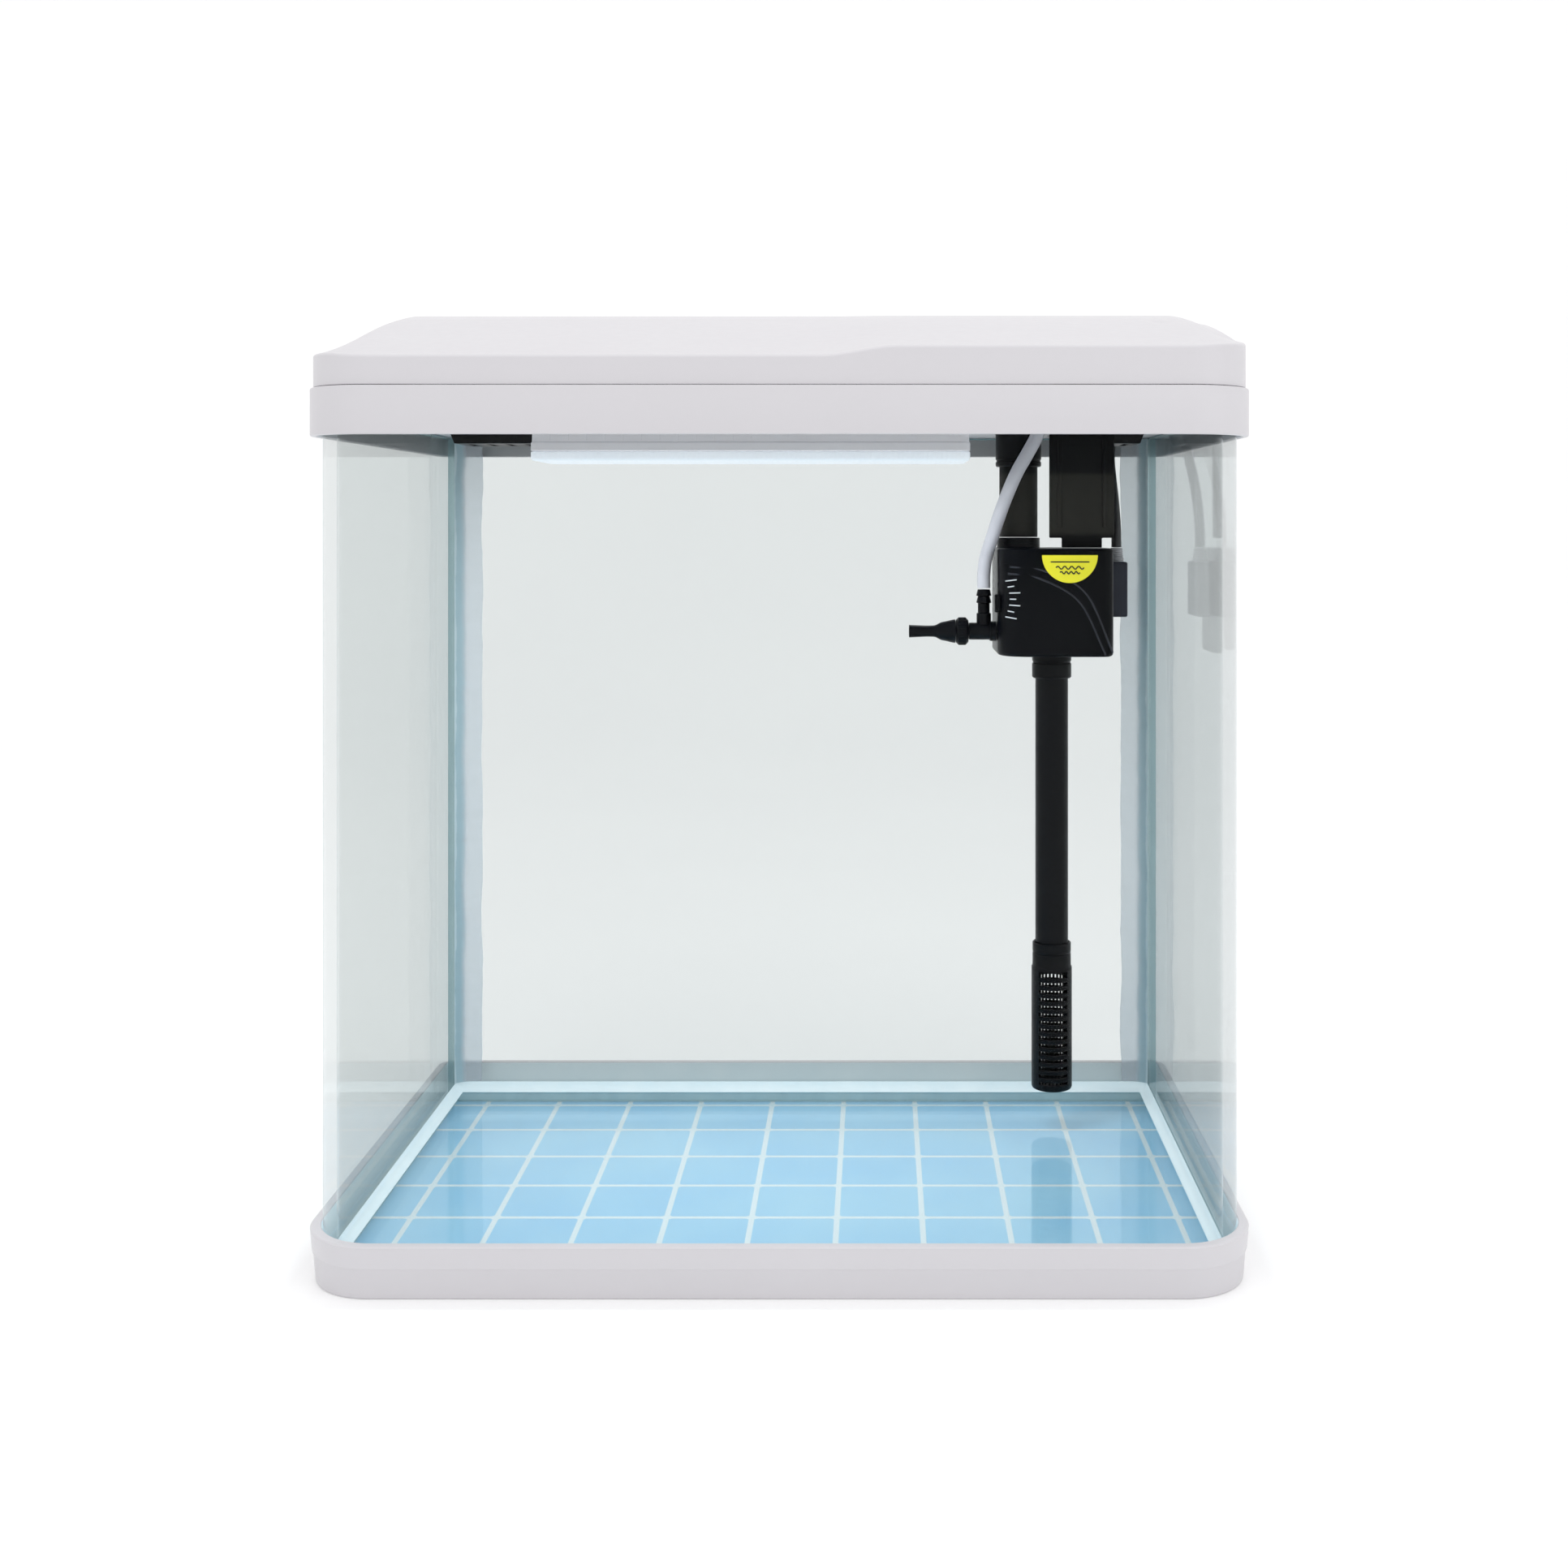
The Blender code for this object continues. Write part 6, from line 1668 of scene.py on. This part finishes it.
def makeMotor():
    refined("motor_block", "motorBlock", "motorResin", "hood", "motor_resin", 0.0008, 3)
    keep("stator_core", "laminations")
    keep("rotor_magnet", "ferrite")
    keep("impeller", "impellerShell")
    keep("pump_shaft", "ceramic")
    keep("front_bush", "blackRubber")
    keep("rear_bush", "blackRubber")
    # ribbed strain relief where the lead leaves the motor
    low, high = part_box("lead_grommet")
    x, y = (low.x + high.x) / 2, (low.y + high.y) / 2
    wide = (high.x - low.x) / 2
    profile = [(0, high.z), (0.0024, high.z), (0.0027, high.z - 0.0003)]
    for i in range(4):
        z = high.z - 0.0006 - i * 0.0010
        grow = 0.0027 + (wide - 0.0029) * (i + 1) / 5
        profile += [
            (grow, z), (grow + 0.00015, z - 0.0003), (grow - 0.0002, z - 0.0005),
            (grow - 0.0002, z - 0.0008),
        ]
    profile += [(wide, low.z + 0.0013), (wide, low.z + 0.0003), (wide - 0.0003, low.z), (0, low.z)]
    bm = bmesh.new()
    addTurned(bm, profile, (x, y, 0), sides=40)
    placed(meshed("leadGrommet", bm, "greyRubber"), "hood", "grommet", "lead_grommet")


# pipes

pipes = {
    "riser": (0.1012, 0.0660),
    "intake": (0.1165, 0.0660),
    "strainerSlots": 15,
}


def tubeProfile(outer, inner, low, high, ease=0.0003):
    return [
        (outer - ease, low), (outer, low + ease), (outer, high - ease), (outer - ease, high),
        (inner + ease, high), (inner, high - ease), (inner, low + ease), (inner + ease, low),
    ]


def makePipes():
    x, y = pipes["riser"]
    low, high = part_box("riser_pipe")
    bm = bmesh.new()
    addTurned(bm, tubeProfile(0.00875, 0.00745, low.z, high.z), (x, y, 0), closed=True)
    placed(meshed("riserPipe", bm, "smokedPipe"), "hood", "black_plastic", "riser_pipe")

    low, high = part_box("riser_sleeve")
    inner, outer, flange, seat = 0.00905, 0.01045, 0.0120, 0.3323
    profile = [
        (inner, high.z - 0.0004), (inner + 0.0004, high.z), (outer - 0.0004, high.z),
        (outer, high.z - 0.0004),
    ]
    profile += [
        (outer, seat + 0.0019), (outer + 0.0003, seat + 0.0015), (flange - 0.0003, seat + 0.0015),
        (flange, seat + 0.0012),
    ]
    profile += [
        (flange, seat + 0.0002), (flange - 0.0002, seat), (outer, seat), (outer, low.z + 0.0034),
        (outer - 0.0004, low.z + 0.0030),
    ]
    profile += [
        (outer - 0.0004, low.z + 0.0024), (outer, low.z + 0.0020), (outer, low.z + 0.0005),
        (outer - 0.0004, low.z), (inner + 0.0002, low.z), (inner, low.z + 0.0003),
    ]
    bm = bmesh.new()
    addTurned(bm, profile, (x, y, 0), closed=True)
    placed(meshed("riserSleeve", bm, "blackShell"), "hood", "black_plastic", "riser_sleeve")

    # hanger: a flat plate with two stiffening ribs
    low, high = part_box("hanger_plate")
    plate = refined("hanger_plate", "hanger", "smokedPipe", "hood", "black_plastic", 0.0004)
    bm = bmesh.new()
    for x in (low.x + 0.0045, high.x - 0.0045):
        addBox(bm, (x - 0.0008, low.y - 0.0007, low.z + 0.009), (x + 0.0008, low.y + 0.0006, high.z - 0.003))
    ribs = eased(meshed("ribs", bm, "smokedPipe"), 0.0003)
    placed(joined("hangerPlate", plate, ribs), "hood", "black_plastic", "hanger_plate")

    x, y = pipes["intake"]
    low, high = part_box("intake_collar")
    profile = [
        (0.0055, high.z), (0.0087, high.z), (0.0090, high.z - 0.0003), (0.0090, high.z - 0.0030),
        (0.0086, high.z - 0.0034),
    ]
    profile += [
        (0.0086, high.z - 0.0040), (0.0090, high.z - 0.0044), (0.0090, low.z + 0.0006), (0.0084, low.z),
        (0.0078, low.z),
    ]
    profile += [(0.0078, high.z - 0.0025), (0.0055, high.z - 0.0025)]
    bm = bmesh.new()
    addTurned(bm, profile, (x, y, 0), closed=True)
    placed(meshed("intakeCollar", bm, "blackShell"), "hood", "black_plastic", "intake_collar")
    low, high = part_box("intake_tube")
    bm = bmesh.new()
    addTurned(bm, tubeProfile(0.0075, 0.0062, low.z, high.z), (x, y, 0), closed=True)
    placed(meshed("intakeTube", bm, "blackShell"), "hood", "black_plastic", "intake_tube")
    makeStrainer(x, y)


def makeStrainer(x, y):
    # collar, foot and two side walls, with a stack of rings between them
    low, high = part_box("strainer")
    outer, inner, collar = 0.00925, 0.0078, 0.0088
    shoulder = 0.0770
    bm = bmesh.new()
    profile = [
        (inner, shoulder - 0.0016), (inner, high.z - 0.0004), (inner + 0.0004, high.z),
        (collar - 0.0004, high.z), (collar, high.z - 0.0004),
    ]
    profile += [
        (collar, high.z - 0.0042), (collar - 0.0003, high.z - 0.0045),
        (collar - 0.0003, high.z - 0.0050), (collar, high.z - 0.0053),
    ]
    profile += [
        (collar, shoulder + 0.0003), (collar + 0.0002, shoulder), (outer, shoulder - 0.0004),
        (outer, shoulder - 0.0016),
    ]
    addTurned(bm, profile, (x, y, 0), closed=True, sides=72)
    profile = [
        (0, low.z), (outer - 0.0010, low.z), (outer - 0.0003, low.z + 0.0003), (outer, low.z + 0.0010),
        (outer, low.z + 0.0030),
    ]
    profile += [(inner, low.z + 0.0030), (inner, low.z + 0.0014), (0, low.z + 0.0014)]
    addTurned(bm, profile, (x, y, 0), sides=72)
    body = meshed("body", bm, "blackShell")
    bm = bmesh.new()
    half = math.asin(0.0065 / outer)
    for side in (0, math.pi):
        arc = []
        for step in range(17):
            angle = side - (math.pi / 2 - half) + (math.pi - 2 * half) * step / 16
            arc.append((math.cos(angle), math.sin(angle)))
        outline = [(x + c * outer, y + s * outer) for c, s in arc] + [
            (x + c * inner, y + s * inner)
            for c, s in arc[::-1]
        ]
        addLoft(bm, [(low.z + 0.0020, outline), (shoulder - 0.0010, outline)])
    walls = meshed("walls", bm, "blackShell")
    slots = pipes["strainerSlots"]
    pitch = (shoulder - low.z) / (slots + 1)
    thick = pitch - 0.0016
    bm = bmesh.new()
    addTurned(
        bm,
        tubeProfile(outer - 0.00005, inner + 0.0001, -thick / 2, thick / 2, 0.00025),
        (0, 0, 0),
        closed=True,
        sides=72,
    )
    ring = meshed("ring", bm, "blackShell")
    rings = repeated("rings", ring, slots - 1, (0, 0, pitch), place=(x, y, low.z + pitch * 1.5))
    # a fine inner mesh of upright wires
    bm = bmesh.new()
    addTurned(
        bm,
        [(0, 0), (0.00035, 0), (0.00035, shoulder - low.z - 0.003), (0, shoulder - low.z - 0.003)],
        (0.0066, 0, 0),
        sides=8,
    )
    wires = repeated(
        "wires",
        meshed("wire", bm, "blackShell"),
        24,
        turn=(0, 0, math.tau / 24),
        place=(x, y, low.z + 0.0012),
    )
    placed(joined("strainerBasket", body, walls, rings, wires), "hood", "black_plastic", "strainer")


# outlet, nozzle, hose and valve

outlet = {
    "axis": (0.0580, 0.2310),
    "radius": 0.0039,
    "bore": 0.0025,
    "left": 0.0780,
    "right": 0.0902,
    "barb": (0.0848, 0.2500),
    "nut": (0.0721, 0.0777, 0.0063),
    "nutRibs": 20,
    "nozzleStart": 0.0718,
    "hoseRadius": 0.0030,
    "valve": (0.1096, 0.0435),
}


def makeOutlet():
    y, z = outlet["axis"]
    radius, bore = outlet["radius"], outlet["bore"]
    left, right = outlet["left"], outlet["right"]
    bm = bmesh.new()
    profile = [
        (bore, left), (radius - 0.0003, left), (radius, left + 0.0003), (radius, right - 0.0030),
        (radius + 0.0006, right - 0.0026),
    ]
    profile += [(radius + 0.0006, right), (bore, right)]
    addTurned(bm, profile, (0, y, z), "X", 48, closed=True)
    barbX, top = outlet["barb"]
    profile = [(0.0012, z + 0.003), (0.0012, top), (0.0028, top)]
    for i in range(2):
        step = top - i * 0.0032
        profile += [(0.0034, step - 0.0026), (0.0034, step - 0.0028), (0.0027, step - 0.0031)]
    profile += [(0.0027, z + 0.0084), (0.0033, z + 0.0080), (0.0033, z + 0.0030)]
    addTurned(bm, profile, (barbX, y, 0), sides=40, closed=True)
    placed(meshed("outletPipe", bm, "blackShell"), "hood", "black_plastic", "outlet_pipe")

    low, high, wide = outlet["nut"]
    bm = bmesh.new()
    profile = [
        (bore, low), (wide - 0.0012, low), (wide - 0.0003, low + 0.0009),
        (wide - 0.0003, high - 0.0009), (wide - 0.0012, high), (bore, high),
    ]
    addTurned(bm, profile, (0, y, z), "X", 60, closed=True)
    nut = meshed("nutBody", bm, "blackShell")
    rib = meshed(
        "nutRib", boxBody((wide - 0.0007, -0.0004, 0.0010), (wide, 0.0004, high - low - 0.0010)), "blackShell"
    )
    count = outlet["nutRibs"]
    ribs = repeated("nutRibs", rib, count, turn=(0, 0, math.tau / count), place=(low, y, z), axis="X")
    placed(joined("nozzleNut", nut, eased(ribs, 0.0002, 1)), "nozzle", "black_plastic", "nozzle_nut")

    def oval(halfWide, halfHigh, square):
        points = []
        for i in range(48):
            angle = math.tau * i / 48
            c, s = math.cos(angle), math.sin(angle)
            power = 2 / square
            points.append(
                (math.copysign(abs(c) ** power, c) * halfWide, math.copysign(abs(s) ** power, s) * halfHigh)
            )
        return points

    keys = [
        (0.0, 0.0054, 0.0054, 2), (0.006, 0.0040, 0.0042, 2), (0.0095, 0.0034, 0.0026, 2.2),
        (0.013, 0.0040, 0.0025, 3), (0.021, 0.0050, 0.0028, 3.5),
    ]

    def shape(along):
        for first, second in zip(keys, keys[1:]):
            if along <= second[0]:
                t = smoothStep(
                    (along - first[0]) / (second[0] - first[0])
                ) * 0.5 + 0.5 * (along - first[0]) / (second[0] - first[0])
                return [a + (b - a) * t for a, b in zip(first[1:], second[1:])]
        return keys[-1][1:]

    def skin(thin, rows):
        made = []
        for step in range(rows + 1):
            along = 0.021 * step / rows
            wide, high, square = shape(along)
            made.append((along, oval(wide - thin, high - thin, square)))
        return made

    bm = bmesh.new()
    aim = Matrix(((0, 0, -1, outlet["nozzleStart"]), (1, 0, 0, y), (0, 1, 0, z), (0, 0, 0, 1)))
    wall = skin(0.0, 28) + skin(0.0011, 28)[::-1]
    addLoft(bm, wall, closed=True, place=aim)
    placed(meshed("jetNozzle", bm, "blackShell"), "nozzle", "black_plastic", "jet_nozzle")


def makeHose():
    radius = outlet["hoseRadius"]
    y = outlet["axis"][0]
    x, top = outlet["barb"]
    points = [
        (x, y, top + 0.0006), (x, y, top + 0.0066), (0.0857, 0.0567, 0.2645), (0.0886, 0.0530, 0.2745),
        (0.0928, 0.0484, 0.2880),
    ]
    points += [
        (0.0985, 0.0460, 0.3020), (0.1037, 0.0444, 0.3115), (0.1076, 0.0438, 0.3190),
        (0.1096, 0.0435, 0.3260), (0.1096, 0.0435, 0.3425),
    ]
    bm = bmesh.new()
    addTube(bm, smoothRoute(points, 0.0010), radius, 32)
    placed(meshed("airHose", bm, "milkyHose"), "hood", "hose", "air_hose")

    x, y = outlet["valve"]
    low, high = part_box("air_valve")
    wide = 0.0054
    profile = [
        (0, high.z), (0.0034, high.z), (0.0042, high.z - 0.0003), (0.0051, high.z - 0.0014),
        (wide, high.z - 0.0026), (wide, low.z + 0.0034),
    ]
    profile += [
        (0.0058, low.z + 0.0030), (0.0062, low.z + 0.0026), (0.0062, low.z + 0.0003), (0.0060, low.z),
        (0.0045, low.z), (0.0045, high.z - 0.0030), (0, high.z - 0.0030),
    ]
    body = meshed("valveBody", turnedBody(profile, (x, y, 0), sides=56), "valveShell")
    bm = bmesh.new()
    addTurned(
        bm, [(0, 0), (0.00045, 0.0002), (0.00045, 0.0098), (0, 0.0100)], (wide - 0.0001, 0, 0), sides=10
    )
    grips = repeated(
        "valveGrips",
        meshed("grip", bm, "valveShell"),
        22,
        turn=(0, 0, math.tau / 22),
        look="valveShell",
        place=(x, y, high.z - 0.0140),
    )
    placed(joined("airValve", body, grips), "hood", "lamp_plastic", "air_valve")


# leads, junction box and gland

leads = {
    "pumpRadius": 0.0023,
    "lampRadius": 0.00175,
    "pumpLead": [
        (
            0.1465, 0.0680, 0.2691,
        ), (0.1465, 0.0680, 0.2731), (0.1465, 0.0696, 0.2800), (0.1464, 0.0750, 0.2905),
        (
            0.1465, 0.0850, 0.3020,
        ), (0.1470, 0.0940, 0.3110), (0.1480, 0.0979, 0.3210), (0.1472, 0.0985, 0.3320),
        (
            0.1405, 0.0985, 0.3440,
        ), (0.1280, 0.0985, 0.3500), (0.1050, 0.0985, 0.3490), (0.0700, 0.0985, 0.3420),
        (0.0350, 0.0985, 0.3355), (0.0120, 0.0985, 0.3338), (-0.0028, 0.0985, 0.3338),
    ],
    "lampLead": [
        (
            -0.050, -0.0100, 0.3180,
        ), (-0.050, -0.0100, 0.3235), (-0.050, -0.0085, 0.3330), (-0.050, -0.0020, 0.3395),
        (
            -0.050, 0.0080, 0.3390,
        ), (-0.050, 0.0200, 0.3330), (-0.050, 0.0330, 0.3278), (-0.050, 0.0470, 0.3268),
        (-0.050, 0.0700, 0.3268), (-0.050, 0.0850, 0.3270), (-0.050, 0.0943, 0.3273),
    ],
}


def makeLeads():
    for name, route, radius, look, slotName in (
        ("pumpLead", "pumpLead", leads["pumpRadius"], "cableSheath", "lead"),
        ("lampLead", "lampLead", leads["lampRadius"], "whiteSheath", "lamp_lead"),
    ):
        bm = bmesh.new()
        addTube(bm, smoothRoute(leads[route], 0.0012), radius, 24)
        placed(meshed(name, bm, look), "hood", slotName, "pump_lead" if name == "pumpLead" else "lamp_lead")

    refined("junction_box", "junctionBox", "boxShell", "hood", "lamp_plastic", 0.0005, 3)
    lid = refined("junction_lid", "lid", "boxShell", "hood", "lamp_plastic", 0.0005, 3)
    low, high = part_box("junction_lid")
    bm = bmesh.new()
    for x in (low.x + 0.0050, high.x - 0.0050):
        profile = [
            (0, high.z), (0.0008, high.z), (0.0010, high.z + 0.0005), (0.0018, high.z + 0.0003),
            (0.0020, high.z - 0.0002), (0, high.z - 0.0004),
        ]
        addTurned(bm, profile, (x, (low.y + high.y) / 2, 0), sides=24)
    heads = meshed("lidScrews", bm, "steelPins")
    placed(joined("junctionLid", lid, heads), "hood", "lamp_plastic", "junction_lid")

    low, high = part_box("cable_gland")
    x, z = (low.x + high.x) / 2, (low.z + high.z) / 2
    bore, stem, flange = 0.0033, 0.0045, 0.0065
    profile = [
        (bore, high.y - 0.0002), (bore + 0.0004, high.y + 0.0002), (flange - 0.0005, high.y),
        (flange, high.y - 0.0003), (flange, high.y - 0.0008),
    ]
    profile += [
        (stem, high.y - 0.0008), (stem, high.y - 0.0035), (stem - 0.0003, high.y - 0.0038),
        (stem - 0.0003, high.y - 0.0048), (stem, high.y - 0.0051),
    ]
    profile += [(stem, low.y + 0.0004), (stem - 0.0004, low.y), (bore, low.y)]
    bm = bmesh.new()
    addTurned(bm, profile, (x, 0, z), "Y", 48, closed=True)
    placed(meshed("cableGland", bm, "blackRubber"), "hood", "lead", "cable_gland")

    for side in ("left", "right"):
        low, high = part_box("hinge_pin_" + side)
        radius = (high.z - low.z) / 2
        bm = bmesh.new()
        ends = [
            (0, low.x), (radius - 0.0003, low.x), (radius, low.x + 0.0003), (radius, high.x - 0.0003),
            (radius - 0.0003, high.x), (0, high.x),
        ]
        addTurned(bm, ends, (0, *hood["hinge"]), "X", 32)
        placed(meshed("hingePin" + side.capitalize(), bm, "steelPins"), "hood", "steel", "hinge_pin_" + side)


makeLamp()
makeFilter()
print("lamp and filter done")
makePump()
makeMotor()
makePipes()
print("pump done")
makeOutlet()
makeHose()
makeLeads()
print("hose and leads done")
